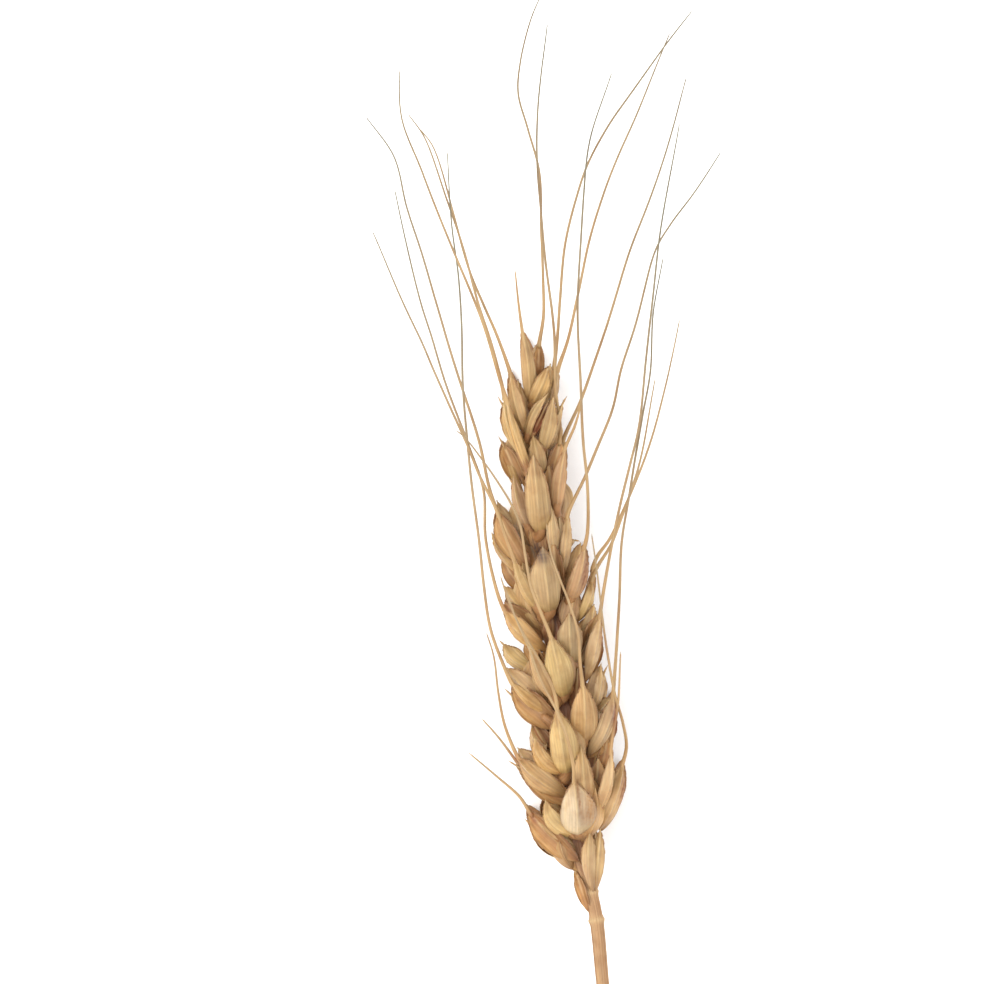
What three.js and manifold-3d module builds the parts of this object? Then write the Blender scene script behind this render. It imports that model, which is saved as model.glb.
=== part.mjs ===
// A ripe ear of bearded wheat with a length of its straw, lying on a flat surface.
// Millimetres. X runs across the ear, Y up the ear and Z up from the surface.
// The origin is on the surface, under the middle of the whole outline.
import * as THREE from 'three';
import { mergeVertices } from 'three/addons/utils/BufferGeometryUtils.js';
import Module from 'manifold-3d';

const wasm = await Module();
wasm.setup();

// Driving dimensions
const axisHeight = 8;          // height of the rachis above the surface
const gap = 0.3;               // space left between pieces that press on each other
const strawRadius = 0.95;      // straw just under the ear
const strawFootRadius = 0.8;   // straw at its cut end
const rachisRadius = 0.9;      // rachis at the lowest spikelet
const rachisTipRadius = 0.45;  // rachis under the top spikelet
const collarRise = 0.3;        // how far a collar stands out of the straw
const collarLength = 0.5;      // half length of a collar along the straw
const awnRadius = 0.3;         // awn where it leaves its lemma
const awnTipRadius = 0.13;     // awn at its tip
const beakLength = 8;          // threads shorter than this are only beaks
const beakRadius = 0.22;       // beak where it leaves its bract
const heartWidth = 6.5;        // heart of a spikelet, across the side of the rachis
const heartFoot = 1.5;         // how far its foot is from the middle of the rachis
const heartLean = 2;           // how much further out its tip is
const heartDrop = 0.6;         // how far its foot is below its place on the rachis
const heartRise = 9;           // how far its tip is above its place on the rachis
const stalkPlace = 1;          // how far the stalks start above the place on the rachis
const stalkRadius = 0.8;
const rootVolume = 0.05;       // cubic millimetres of a bract inside the heart that hold it
const pressed = 0.35;          // share of its height that the tip of an underside bract keeps
const sunk = 0.9;              // how far the lowest tips would pass below the surface

// Shape of a bract, as shares of its width or length
const bellyDepth = 0.34;       // outer side, at the widest place
const innerDepth = 0.2;        // inner side, at the widest place
const bow = 0.15;              // how far the middle stands out from foot to tip
const keelShare = 0.3;         // how much of the outer side is a sharp keel
const rowRoundness = 0.7;      // power that rounds the foot of a bract in the row, less is rounder
const nearRoundness = 0.5;     // the same for a bract on the near side
const nearHeight = 9.8;        // height of the feet of the bracts on the near side
const plainSharpness = 1.1;    // power that narrows the tip of a plain bract, more is sharper
const awnedSharpness = 1.3;    // the same for a bract whose keel runs out into a thread
const threadRoots = [0.82, 0.93];  // where a thread is rooted in the keel
const stalkEnd = 0.2;          // where a stalk ends in its bract

// How finely the round shapes are divided
const bractRings = [0.07, 0.38, 0.76];
const bractSides = 6;
const threadSides = 3;
const threadStep = 7;
const threadEnd = 0.015;       // share of a thread that its end points take
const strawSides = 8;
const strawSteps = 24;

const strawColour = 0xd6b07c;
const chaffColours = [0xd9b37f, 0xe0bb80, 0xcfa873, 0xd8ae78];

// The straw and the rachis, from the cut end to the top spikelet
const strawPath = [
  [9.6, -74.4], [8.4, -64], [7.5, -54.8], [6.7, -50.9], [5.6, -47.2], [4.8, -43.3], [4.3, -38],
  [3.2, -28.2], [2.1, -17], [0.8, -7.2], [-0.4, 2.6], [-1.4, 12.4], [-1.8, 20.5],
];
const collarPlaces = [-54.8, -50.9];

// The spikelets from the lowest to the top one. A bract runs from its foot to its tip, is as wide
// as its width and turns its keel to face, in degrees from the right side up over the ear. Its
// bend curves it sideways, as a share of its length. Its thread is the beak or awn that its keel
// runs out into. A bract marked under has a twin below.
const spikelets = [
  { name: 'spikelet_01', node: -54.4, side: 160, size: 0, bracts: [
    { foot: [6.7, -54, 7.8], tip: [4.4, -47.4, 7.8], width: 1.5, face: 110, bend: -0.02, thread: [
      [4.3, -46.7, 7.4],
    ] },
  ] },
  { name: 'spikelet_02', node: -50.8, side: 60, size: 0, bracts: [
    { foot: [7, -50.8, 9.4], tip: [6.6, -42.1, 11], width: 2.2, face: 105 },
    { foot: [7.3, -50.8, 9.2], tip: [8, -41.9, 10.6], width: 2, face: 90 },
    { foot: [7.4, -50.5, 9.2], tip: [8, -43.1, 9.8], width: 1.7, face: 78, bend: 0.04 },
  ] },
  { name: 'spikelet_03', node: -47.3, side: 175, size: 0.8, bracts: [
    { foot: [4.8, -46.7, 7.8], tip: [-1.8, -41.1, 7.3], width: 3.1, face: 212, bend: 0.01, thread: [
      [-2.7, -40.6, 7],
    ] },
    { foot: [5, -46.6, 9], tip: [-2.2, -39.1, 9], width: 3.5, face: 118, under: true, thread: [
      [-3.2, -37.6, 9.2], [-6.4, -34.7, 10.4], [-10.5, -31.2, 12],
    ] },
    { foot: [4.8, -45, 8.4], tip: [-1.3, -39.7, 8.4], width: 2.4, face: 120 },
    { foot: [5.2, -46.4, 6.6], tip: [-0.1, -41.4, 4], width: 3.4, face: 240 },
  ] },
  { name: 'spikelet_04', node: -43.3, side: 62, size: 1, bracts: [
    { foot: [5.2, -42.6, 10.4], tip: [4.3, -34.4, 15.2], width: 5.3, face: 88, under: true, thread: [
      [4.2, -33.1, 16.2], [3.1, -28.5, 17.6], [1.7, -24.9, 18], [0, -21.6, 18], [-2, -16.5, 18],
      [-3.8, -12.5, 18.4], [-5.2, -8.3, 19],
    ] },
    { foot: [4.9, -42.8, 9.8], tip: [0.4, -37.9, 12], width: 3.1, face: 125, bend: 0.09, under: true },
    { foot: [7.1, -40.4, 10], tip: [9.4, -30.6, 12.8], width: 2.1, face: 60, thread: [
      [9.8, -28.5, 13.4], [10.4, -24.6, 14.4], [10.8, -17, 15.6],
    ] },
    { foot: [7.8, -42.2, 8.8], tip: [11.2, -32.6, 9.9], width: 2.9, face: 68, bend: 0.02, under: true,
      thread: [
        [11.7, -30.6, 10.6], [11.2, -27.1, 13], [9.9, -22.6, 15], [8.8, -16.3, 16.4],
        [7.8, -8.6, 17.6], [6.6, -0.6, 19],
      ] },
    { foot: [8, -42.5, 7.2], tip: [10.5, -34.4, 7.2], width: 2.5, face: 42, bend: 0.02 },
    { foot: [5.7, -41.1, 10.4], tip: [5.2, -30.2, 13], width: 3.1, face: 85 },
    { foot: [7.4, -40.8, 9.2], tip: [9.4, -32.7, 10.4], width: 2.4, face: 60 },
    { foot: [6.6, -40.1, 9], tip: [7.7, -32.1, 10.4], width: 3.1, face: 75 },
  ] },
  { name: 'spikelet_05', node: -37.3, side: 170, size: 1, bracts: [
    { foot: [3.6, -34.4, 10.6], tip: [1.9, -24.8, 15], width: 4.6, face: 92, under: true, thread: [
      [1.8, -23.7, 15.6], [1, -21.2, 16.2], [-0.7, -17.9, 16.2], [-2.9, -14.2, 16],
      [-4.6, -10.7, 16.4], [-6, -6.5, 17],
    ] },
    { foot: [3.2, -34.2, 10], tip: [-1.1, -29.2, 12.4], width: 2.8, face: 122, bend: 0.08 },
    { foot: [4.9, -33.5, 10.2], tip: [2.7, -26, 13.2], width: 3.4, face: 75 },
    { foot: [3.8, -37.6, 9.2], tip: [-3.7, -31.8, 9.8], width: 3.4, face: 118, thread: [
      [-5.2, -27.8, 10.4], [-6.2, -22.9, 11.4], [-6.9, -17.9, 12.6], [-8, -14.4, 13.6],
    ] },
    { foot: [3.5, -36.6, 8.2], tip: [-3.5, -30.7, 8.2], width: 3.4, face: 118 },
    { foot: [4.1, -38.9, 9], tip: [-3.9, -33.1, 8.7], width: 3.6, face: 105, bend: -0.06, under: true,
      thread: [
        [-5, -32.4, 8.6],
      ] },
    { foot: [4.2, -41.4, 7.6], tip: [-3.1, -33.5, 7], width: 2.2, face: 165, bend: -0.12, thread: [
      [-6.2, -29.3, 6.2], [-8.7, -26.5, 5.6],
    ] },
    { foot: [2, -33, 8.6], tip: [-1.5, -27.4, 8], width: 2.5, face: 122, bend: 0.02 },
  ] },
  { name: 'spikelet_06', node: -31, side: 5, size: 1, bracts: [
    { foot: [5.6, -30, 10.4], tip: [5.5, -21.4, 14.5], width: 3.9, face: 85, under: true, thread: [
      [5.2, -19, 15.8], [4.9, -14.5, 16.6], [3.6, -10.4, 17.2], [2.4, -7.4, 17.2],
      [1.1, -3.7, 17.2], [0.4, 0.9, 17.4],
    ] },
    { foot: [6.2, -31.9, 9.4], tip: [9.8, -23, 11.6], width: 2.8, face: 62, under: true, thread: [
      [10.2, -17.9, 12.6], [10.7, -10, 13.6], [10.9, -2, 14.4], [12, 4.6, 15], [13.7, 15.3, 16],
      [15, 22.2, 16.6], [15.4, 30.3, 17.2], [16.7, 37.9, 18],
    ] },
    { foot: [6.3, -32.1, 7.4], tip: [9.8, -25.1, 8.2], width: 2.5, face: 40 },
    { foot: [7, -25.7, 9.6], tip: [8.1, -19.5, 10.8], width: 1.7, face: 75, thread: [[8.1, -18.6, 11]] },
    { foot: [7.6, -25.1, 8.6], tip: [8.5, -20, 9.6], width: 1.4, face: 75, thread: [[9.1, -19, 9.8]] },
    { foot: [6, -32.4, 9], tip: [6.9, -28.9, 10.4], width: 3.4, face: 75 },
    { foot: [6.9, -26.4, 8.8], tip: [9.5, -23.6, 9.8], width: 2, face: 85 },
  ] },
  { name: 'spikelet_07', node: -25.7, side: 172, size: 1, bracts: [
    { foot: [2.7, -23.7, 10.6], tip: [0.5, -14.4, 14.8], width: 4.5, face: 90, under: true, thread: [
      [-0.3, -11.7, 15.8], [-1.8, -7.9, 16.2], [-2.5, -4.1, 16.4], [-3.2, 0.5, 16.6],
      [-4.5, 3.6, 17], [-6.3, 6.5, 17.4], [-8.2, 9.2, 17.8], [-10.9, 12.7, 18.4],
      [-12.2, 13.8, 18.6],
    ] },
    { foot: [3.5, -22.6, 10.4], tip: [2, -15.6, 13.2], width: 3.1, face: 72 },
    { foot: [1.8, -24.4, 10], tip: [-1.7, -16.5, 12.8], width: 2.4, face: 115 },
    { foot: [1.4, -26.3, 9.4], tip: [-4.6, -21.3, 9.9], width: 2.4, face: 115, thread: [
      [-5.7, -18.6, 10.2], [-7.3, -14.1, 10.6], [-8.3, -7.9, 11], [-9, -1.6, 11.4],
      [-10.1, 8.1, 12], [-11.1, 18.6, 12.6], [-11.3, 27.7, 13.2], [-11.9, 35.2, 13.8],
      [-12.7, 41.7, 14.4], [-13.4, 52.7, 15.2],
    ] },
    { foot: [1.8, -24.9, 8.2], tip: [-5, -19.5, 8.6], width: 3.2, face: 118 },
    { foot: [1.8, -27.8, 8.8], tip: [-4.3, -21.9, 8.6], width: 3.9, face: 115, under: true },
    { foot: [1.1, -28.6, 7.4], tip: [-4.5, -23.2, 7.4], width: 2, face: 155, bend: -0.08, thread: [
      [-5.5, -22.3, 7.4],
    ] },
  ] },
  { name: 'spikelet_08', node: -19.5, side: 5, size: 1, bracts: [
    { foot: [3.9, -19.1, 10.4], tip: [3.6, -11.7, 13.4], width: 3.5, face: 90, under: true },
    { foot: [6, -21.5, 9.2], tip: [8, -11.8, 11.5], width: 2.1, face: 72, bend: 0.03, under: true, thread: [
      [8.5, -8.5, 12.4], [9.4, -3.3, 13.4], [10.5, 1.9, 14.4], [12.2, 9.2, 15.8],
      [13.3, 14.4, 16.8], [14.3, 23.6, 18.4], [15, 30.6, 19.6], [16, 39, 21], [17.5, 48.5, 22.6],
      [18.9, 56.4, 24],
    ] },
    { foot: [5.7, -21.6, 7.4], tip: [8, -14.5, 8.2], width: 2.2, face: 48, bend: 0.05 },
    { foot: [5.2, -17.3, 9.6], tip: [7.6, -12, 11.6], width: 2.1, face: 72 },
  ] },
  { name: 'spikelet_09', node: -14.2, side: 172, size: 1, bracts: [
    { foot: [1, -11.8, 10.6], tip: [-0.1, -2.5, 14.4], width: 4.3, face: 90, under: true },
    { foot: [0, -12, 10.2], tip: [-4.2, -3.5, 12.7], width: 2.1, face: 118, thread: [
      [-5.3, -0.9, 13.4], [-6.4, 2.3, 14.2], [-9, 7.6, 15.4], [-10.5, 11.6, 16.2],
      [-13.2, 17.6, 17.2], [-15.3, 22.2, 18], [-16.8, 25.8, 18.6], [-19.5, 31.6, 19.4],
      [-23.9, 41.5, 20.6],
    ] },
    { foot: [0.7, -17.3, 9.2], tip: [-5.5, -11.2, 9.5], width: 2.9, face: 124, thread: [
      [-6.3, -9.2, 9.4], [-8, -1.6, 8.6], [-8.3, 5.3, 7.8], [-10.4, 11.4, 6.6], [-13.3, 19.5, 5.2],
      [-15.5, 26.7, 4.4], [-17.1, 31.6, 4], [-19.2, 40.4, 3.4], [-20.9, 47.7, 3],
    ] },
    { foot: [0.7, -15.6, 8.4], tip: [-5.3, -10.3, 8.6], width: 3.5, face: 118, under: true },
    { foot: [0.6, -13.4, 7.6], tip: [-5.3, -8.1, 7.8], width: 3.1, face: 122 },
    { foot: [-1.1, -19.8, 7.6], tip: [-5.6, -16, 7.8], width: 2.8, face: 118, bend: 0.05, thread: [
      [-6.2, -15.6, 7.6],
    ] },
  ] },
  { name: 'spikelet_10', node: -10.3, side: 5, size: 0.8, bracts: [
    { foot: [3.6, -10.3, 10.2], tip: [5.8, -2.3, 13.5], width: 2.7, face: 75, under: true, thread: [
      [6.2, -0.6, 14.2], [6.2, 5.8, 15.8], [5.6, 12.3, 17.2], [5.2, 18.7, 18.6], [4.8, 27.8, 20.2],
      [4.9, 34.8, 21.2], [5.7, 46.7, 22.8], [6.6, 54.4, 23.8], [9.5, 63.4, 25],
    ] },
    { foot: [4.8, -13.1, 8.8], tip: [6.8, -6.9, 10.1], width: 1.8, face: 62, thread: [
      [7.6, -5.4, 10.2], [9.7, -2, 10.4], [12.5, 5.8, 10.4], [13.7, 10.2, 10.4],
      [15.7, 21.1, 10.6],
    ] },
    { foot: [2.8, -7.2, 8.4], tip: [5.2, -2, 9], width: 2.1, face: 65 },
    { foot: [2.4, -10, 9.6], tip: [1.4, -1.9, 12], width: 2.5, face: 95 },
    { foot: [4.3, -12.5, 7.4], tip: [6.9, -5.3, 7.4], width: 2, face: 42, thread: [
      [7.6, -4, 7.2], [9.4, -1.5, 7], [11.5, 3, 6.6], [15.1, 12.3, 5.8], [16.9, 18.7, 5.4],
      [19.2, 29.5, 5],
    ] },
  ] },
  { name: 'spikelet_11', node: -3, side: 172, size: 0.85, bracts: [
    { foot: [-0.3, -0.9, 10.6], tip: [-1.4, 10.4, 14.2], width: 3.6, face: 90, under: true },
    { foot: [-1.7, -0.6, 9.8], tip: [-4.1, 7.5, 12], width: 2.2, face: 108 },
    { foot: [-1.8, -5.5, 9.2], tip: [-6.4, 2.6, 9.5], width: 3.6, face: 115, under: true, thread: [
      [-7.4, 5.3, 9.2], [-9, 12.3, 8.4], [-11.3, 19.8, 7.6], [-13.4, 26.4, 6.8], [-15, 31.9, 6.2],
      [-16.8, 38.3, 5.6], [-19.2, 45.3, 5], [-21, 52.3, 4.4], [-24.9, 57.9, 4],
    ] },
    { foot: [-2.9, -0.8, 8.2], tip: [-6.4, 3.9, 8.2], width: 1.4, face: 125 },
    { foot: [-1.8, -7.2, 8], tip: [-7.1, -0.6, 8], width: 2.1, face: 130 },
    { foot: [-2.2, -9.2, 7.2], tip: [-5.7, -3.9, 7], width: 2.1, face: 125 },
    { foot: [0, -4.4, 9.2], tip: [-1.5, 1.8, 10.4], width: 2.5, face: 92 },
  ] },
  { name: 'spikelet_12', node: 0.9, side: 5, size: 0.65, bracts: [
    { foot: [1.8, 1.9, 10.2], tip: [3.2, 11.8, 13], width: 2.1, face: 86, bend: 0.03, under: true, thread: [
      [4.5, 14.5, 13.8], [5.6, 18.7, 14.8],
    ] },
    { foot: [2.5, -6.8, 9.8], tip: [3.5, 2.6, 11.1], width: 1.7, face: 85, thread: [
      [6, 7.4, 11.4], [7.6, 11.3, 11.6], [9.7, 16.7, 11.8], [10.9, 22.1, 12], [12.7, 27.8, 12.4],
      [15.6, 38.7, 13.2], [17.8, 42.4, 13.6], [21, 46.7, 14], [24.9, 52.7, 14.6],
    ] },
    { foot: [1.5, -4.4, 10], tip: [1.1, 3.3, 11.8], width: 1.7, face: 90 },
    { foot: [2.4, -2.5, 8], tip: [4.5, -1.6, 8], width: 1.3, face: 75, thread: [[5.2, -1.8, 8]] },
    { foot: [1.8, -4.1, 7.6], tip: [2.8, 1.8, 8.2], width: 1.7, face: 50 },
    { foot: [1.1, 0.6, 9], tip: [0.8, 9, 10.4], width: 2.5, face: 85 },
  ] },
  { name: 'spikelet_13', node: 8.5, side: 172, size: 0.6, bracts: [
    { foot: [-2.9, 6.2, 8.8], tip: [-5.6, 12, 9], width: 2.8, face: 105, under: true, thread: [
      [-6.3, 13, 9],
    ] },
    { foot: [-2.4, 4, 8], tip: [-5.3, 11.3, 8], width: 1.4, face: 115 },
    { foot: [-2.8, 10.7, 10], tip: [-5.6, 17.4, 11.6], width: 2.4, face: 108, under: true, thread: [
      [-6.4, 18.6, 11.8],
    ] },
    { foot: [-1.4, 6.8, 11.2], tip: [-5.3, 18.9, 13.4], width: 1.3, face: 100, thread: [
      [-6, 20.8, 14], [-8.3, 28.5, 16], [-12.3, 38, 18.4], [-16.8, 49.5, 21], [-19.6, 56.8, 22.6],
      [-19.9, 63.8, 24],
    ] },
    { foot: [-2, 8.2, 10.4], tip: [-5.5, 19.5, 12.1], width: 1.3, face: 115, thread: [
      [-7, 24.9, 12.6], [-9, 31.3, 13], [-10.9, 38.3, 13.4], [-13.2, 45.3, 13.8],
      [-16.4, 54.4, 14.4], [-19, 58, 14.8],
    ] },
    { foot: [-0.4, 7.4, 10.2], tip: [-1.4, 13, 11.8], width: 2.5, face: 90 },
  ] },
  { name: 'spikelet_14', node: 10.7, side: 5, size: 0.55, bracts: [
    { foot: [-2.2, 12.1, 10.4], tip: [0.7, 18.8, 13], width: 1.5, face: 110, bend: 0.05 },
    { foot: [-1.7, 12.7, 10.6], tip: [0.8, 17.9, 12.2], width: 1.5, face: 90 },
    { foot: [-0.3, 10.4, 10.2], tip: [1.4, 18.4, 12.8], width: 2.2, face: 82, under: true },
    { foot: [0.6, 10.7, 9.4], tip: [2.9, 17.9, 11.2], width: 1.3, face: 95, thread: [[3.4, 18.6, 11.4]] },
    { foot: [0.8, 6.5, 8.8], tip: [2.4, 12.5, 10.1], width: 2.4, face: 78, thread: [
      [2.4, 14.5, 11], [1.8, 19.4, 12.6], [1.5, 27.2, 13.8], [0.3, 37.6, 15.2], [-0.3, 43.6, 16],
      [-0.8, 50.2, 17], [-0.7, 57.6, 18], [-0.3, 63.1, 18.8], [0.6, 70.4, 20],
    ] },
    { foot: [0.8, 6.2, 7.8], tip: [2.8, 12.7, 8.1], width: 2, face: 50, thread: [
      [5.2, 17.7, 7.8], [7, 22.6, 7.2], [8.8, 27.8, 6.6], [11.9, 37.9, 5.4], [15, 46, 4.6],
      [18.1, 55.8, 3.8], [20.2, 63.5, 3.2],
    ] },
  ] },
  { name: 'spikelet_15', node: 16, side: 150, size: 0.45, bracts: [
    { foot: [-2.2, 13, 10.2], tip: [-4.6, 22.2, 12.2], width: 2.1, face: 105, under: true, thread: [
      [-6.2, 26.4, 12.4], [-8.3, 31.3, 12.2], [-10.1, 35.8, 11.8], [-12.7, 44.6, 11],
      [-15.4, 53.4, 10], [-17.2, 55.9, 9.6],
    ] },
    { foot: [-1.7, 17.2, 10], tip: [0.7, 22.5, 12.2], width: 2.4, face: 82, under: true },
    { foot: [-0.3, 16.9, 9], tip: [1, 23, 10.4], width: 2.1, face: 78 },
    { foot: [1, 16.3, 9.2], tip: [2.1, 22.5, 10.5], width: 1.1, face: 80, thread: [
      [3.5, 26.4, 11.4], [5, 33.2, 11.2], [6.4, 40, 10.8], [8.3, 46, 10.4], [10.5, 51.9, 9.8],
      [13.2, 58.2, 9.2], [17.8, 69.5, 8],
    ] },
    { foot: [0.3, 16.3, 8], tip: [1.6, 22.9, 8.7], width: 1.3, face: 75, thread: [
      [2, 26.4, 8.8], [2.4, 32, 9], [3.2, 39.7, 9], [4.8, 46.7, 8.8], [6.2, 50.9, 8.6],
      [9, 56.1, 8.2], [12.2, 60.8, 7.6], [16.8, 67.3, 7], [21.1, 72.7, 6.4],
    ] },
    { foot: [-2.2, 14.1, 9], tip: [-3.5, 20.8, 10], width: 1.8, face: 100 },
  ] },
  { name: 'spikelet_16', node: 19.1, side: 90, size: 0.4, bracts: [
    { foot: [-1.8, 16.9, 9.4], tip: [-3, 27.9, 11], width: 2.2, face: 90, bend: -0.03, under: true,
      thread: [
        [-3.4, 31.3, 11.6], [-3.9, 36.2, 12.6],
      ] },
    { foot: [-0.8, 19.8, 8.6], tip: [-0.5, 26.2, 9.7], width: 1.7, face: 90, under: true, thread: [
      [0.1, 29.8, 10], [0, 35.2, 10.4], [-0.2, 41.4, 11], [-0.4, 49.5, 12], [-2.2, 55.9, 12.8],
      [-3.5, 60.7, 13.4], [-3.2, 64.9, 13.8], [-1.8, 70.9, 14.4], [-0.4, 74.4, 15],
    ] },
    { foot: [-1.1, 21.9, 7.8], tip: [-1.1, 25.6, 8.2], width: 1.3, face: 90 },
  ] },
];

const vector = (point) => new THREE.Vector3(...point);

// Joins rings of points into one closed skin, with a point to close each end.
function skin(rings, start, end) {
  const sides = rings[0].length;
  const points = [start, ...rings.flat(), end];
  const last = points.length - 1;
  const at = (ring, side) => 1 + ring * sides + (side % sides);
  const faces = [];
  for (let side = 0; side < sides; side++) {
    faces.push(0, at(0, side + 1), at(0, side));
    for (let ring = 1; ring < rings.length; ring++) {
      faces.push(at(ring - 1, side), at(ring - 1, side + 1), at(ring, side + 1));
      faces.push(at(ring - 1, side), at(ring, side + 1), at(ring, side));
    }
    faces.push(last, at(rings.length - 1, side), at(rings.length - 1, side + 1));
  }
  return new wasm.Manifold(new wasm.Mesh({
    numProp: 3,
    vertProperties: new Float32Array(points.flatMap((point) => point.toArray())),
    triVerts: new Uint32Array(faces),
  }));
}

// A solid from one of the library's own closed geometries.
function solidOf(geometry) {
  geometry.deleteAttribute('normal');
  geometry.deleteAttribute('uv');
  const merged = mergeVertices(geometry);
  return new wasm.Manifold(new wasm.Mesh({
    numProp: 3,
    vertProperties: new Float32Array(merged.attributes.position.array),
    triVerts: new Uint32Array(merged.index.array),
  }));
}

// The middle line of a bract: from foot to tip, bowed out to where its keel faces and bent sideways.
function middleLine({ foot, tip, face, bend = 0 }) {
  const start = vector(foot);
  const end = vector(tip);
  const turn = THREE.MathUtils.degToRad(face);
  const out = new THREE.Vector3(Math.cos(turn), 0, Math.sin(turn));
  const flat = new THREE.Vector3(start.y - end.y, end.x - start.x, 0).normalize();
  const length = start.distanceTo(end);
  const middle = start.clone().lerp(end, 0.5)
    .addScaledVector(out, 2 * bow * length)
    .addScaledVector(flat, 2 * bend * length);
  return { curve: new THREE.QuadraticBezierCurve3(start, middle, end), out };
}

// Width of a bract along its length: round at the foot, widest near the middle, then pointed.
function bractOutline(shape, along) {
  const roundness = shape.foot[2] < nearHeight ? rowRoundness : nearRoundness;
  const sharpness = shape.thread ? awnedSharpness : plainSharpness;
  const outlineAt = (place) => place ** roundness * (1 - place ** 2) ** sharpness;
  const widestPlace = Math.sqrt(roundness / (roundness + 2 * sharpness));
  return outlineAt(along) / outlineAt(widestPlace);
}

// A bract is a closed boat: a keeled outer side, a flatter inner side, a round foot and a sharp tip.
function bract(shape, grow = 0) {
  const { curve, out } = middleLine(shape);
  const rings = bractRings.map((along) => {
    const ahead = curve.getTangent(along);
    const keel = out.clone().addScaledVector(ahead, -out.dot(ahead)).normalize();
    const side = keel.clone().cross(ahead);
    const size = bractOutline(shape, along) * shape.width;
    return Array.from({ length: bractSides }, (_, step) => {
      const angle = (step / bractSides) * 2 * Math.PI;
      const across = Math.cos(angle);
      const rise = Math.sin(angle);
      const ridge = (1 - keelShare) * Math.abs(rise) + keelShare * (1 - Math.abs(across));
      const depth = rise > 0 ? bellyDepth * ridge : -innerDepth * Math.abs(rise);
      return curve.getPoint(along)
        .addScaledVector(side, across * (size / 2 + grow))
        .addScaledVector(keel, depth * size + grow * rise);
    });
  });
  const start = curve.getPoint(0).addScaledVector(curve.getTangent(0), -grow);
  const end = curve.getPoint(1).addScaledVector(curve.getTangent(1), grow);
  return skin(rings, start, end);
}

// A beak or an awn: a thin three-sided thread rooted in the keel of its bract.
function thread(shape, grow = 0) {
  const { curve } = middleLine(shape);
  const points = [...threadRoots.map((along) => curve.getPoint(along)), ...shape.thread.map(vector)];
  const path = new THREE.CatmullRomCurve3(points, false, 'centripetal');
  const length = path.getLength();
  const root = length > beakLength ? awnRadius : beakRadius;
  const steps = Math.max(2, Math.round(length / threadStep));
  const rings = Array.from({ length: steps + 1 }, (_, step) => {
    const along = THREE.MathUtils.lerp(threadEnd, 1 - threadEnd, step / steps);
    const ahead = path.getTangentAt(along);
    const side = new THREE.Vector3(0, 0, 1).cross(ahead).normalize();
    const up = ahead.clone().cross(side);
    const radius = THREE.MathUtils.lerp(root, awnTipRadius, along) + grow;
    return Array.from({ length: threadSides }, (_, corner) => {
      const angle = (corner / threadSides) * 2 * Math.PI;
      return path.getPointAt(along)
        .addScaledVector(up, radius * Math.cos(angle))
        .addScaledVector(side, -radius * Math.sin(angle));
    });
  });
  return skin(rings, path.getPointAt(0), path.getPointAt(1));
}

// The twin of a bract on the underside, pressed towards the surface that the ear lies on.
function twin({ foot: [footX, footY, footZ], tip: [tipX, tipY, tipZ], width, face, bend }) {
  const foot = [footX, footY + gap, 2 * axisHeight - footZ];
  const tip = [tipX, tipY + gap, (2 * axisHeight - tipZ) * pressed - sunk];
  return { foot, tip, width, face: -face, bend };
}

// The point on the middle of the rachis at a height up the ear.
function rachisPoint(y) {
  const above = strawPath.findIndex(([, place]) => place >= y);
  const [[x0, y0], [x1, y1]] = [strawPath[above - 1], strawPath[above]];
  return new THREE.Vector3(THREE.MathUtils.mapLinear(y, y0, y1, x0, x1), y, axisHeight);
}

// A point beside the rachis, out on the side that the spikelet stands on.
function beside({ node, side }, out, up) {
  const turn = THREE.MathUtils.degToRad(side);
  return rachisPoint(node).add(new THREE.Vector3(out * Math.cos(turn), up, out * Math.sin(turn)));
}

// The heart of a spikelet: a flat boat against the side of the rachis, which holds its bracts.
function heart(shape) {
  const foot = beside(shape, heartFoot, -heartDrop * shape.size);
  const tip = beside(shape, heartFoot + heartLean * shape.size, heartRise * shape.size);
  return { foot: foot.toArray(), tip: tip.toArray(), width: heartWidth * shape.size, face: shape.side };
}

// The stalk of a bract that stands clear of the heart: from the midst of the heart into its foot.
function stalk(shape, one, grow) {
  const start = beside(shape, heartFoot + heartLean * shape.size / 2, stalkPlace);
  const end = middleLine(one).curve.getPoint(stalkEnd);
  const ahead = end.clone().sub(start).normalize();
  const side = new THREE.Vector3(0, 0, 1).cross(ahead).normalize();
  const up = ahead.clone().cross(side);
  const rings = [start, end].map((centre) => Array.from({ length: threadSides }, (_, corner) => {
    const angle = (corner / threadSides) * 2 * Math.PI;
    return centre.clone()
      .addScaledVector(up, (stalkRadius + grow) * Math.cos(angle))
      .addScaledVector(side, -(stalkRadius + grow) * Math.sin(angle));
  }));
  return skin(rings, start, end);
}

// The heart of a spikelet with the stalks of those bracts that stand clear of it.
function holders(shape, bracts, grow) {
  if (!shape.size) {
    return [];
  }
  const middle = bract(heart(shape));
  const held = (one) => bract(one).intersect(middle).volume() >= rootVolume * shape.size;
  const clear = bracts.filter((one) => !held(one));
  return [bract(heart(shape), grow), ...clear.map((one) => stalk(shape, one, grow))];
}

// A whole spikelet: its bracts, their twins, their threads, and the heart and stalks that hold them.
function spikelet(shape, grow = 0) {
  const bracts = [...shape.bracts, ...shape.bracts.filter((one) => one.under).map(twin)];
  const threads = bracts.filter((one) => one.thread).map((one) => thread(one, grow));
  const blades = bracts.map((one) => bract(one, grow));
  return wasm.Manifold.union([...blades, ...threads, ...holders(shape, bracts, grow)]);
}

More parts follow.
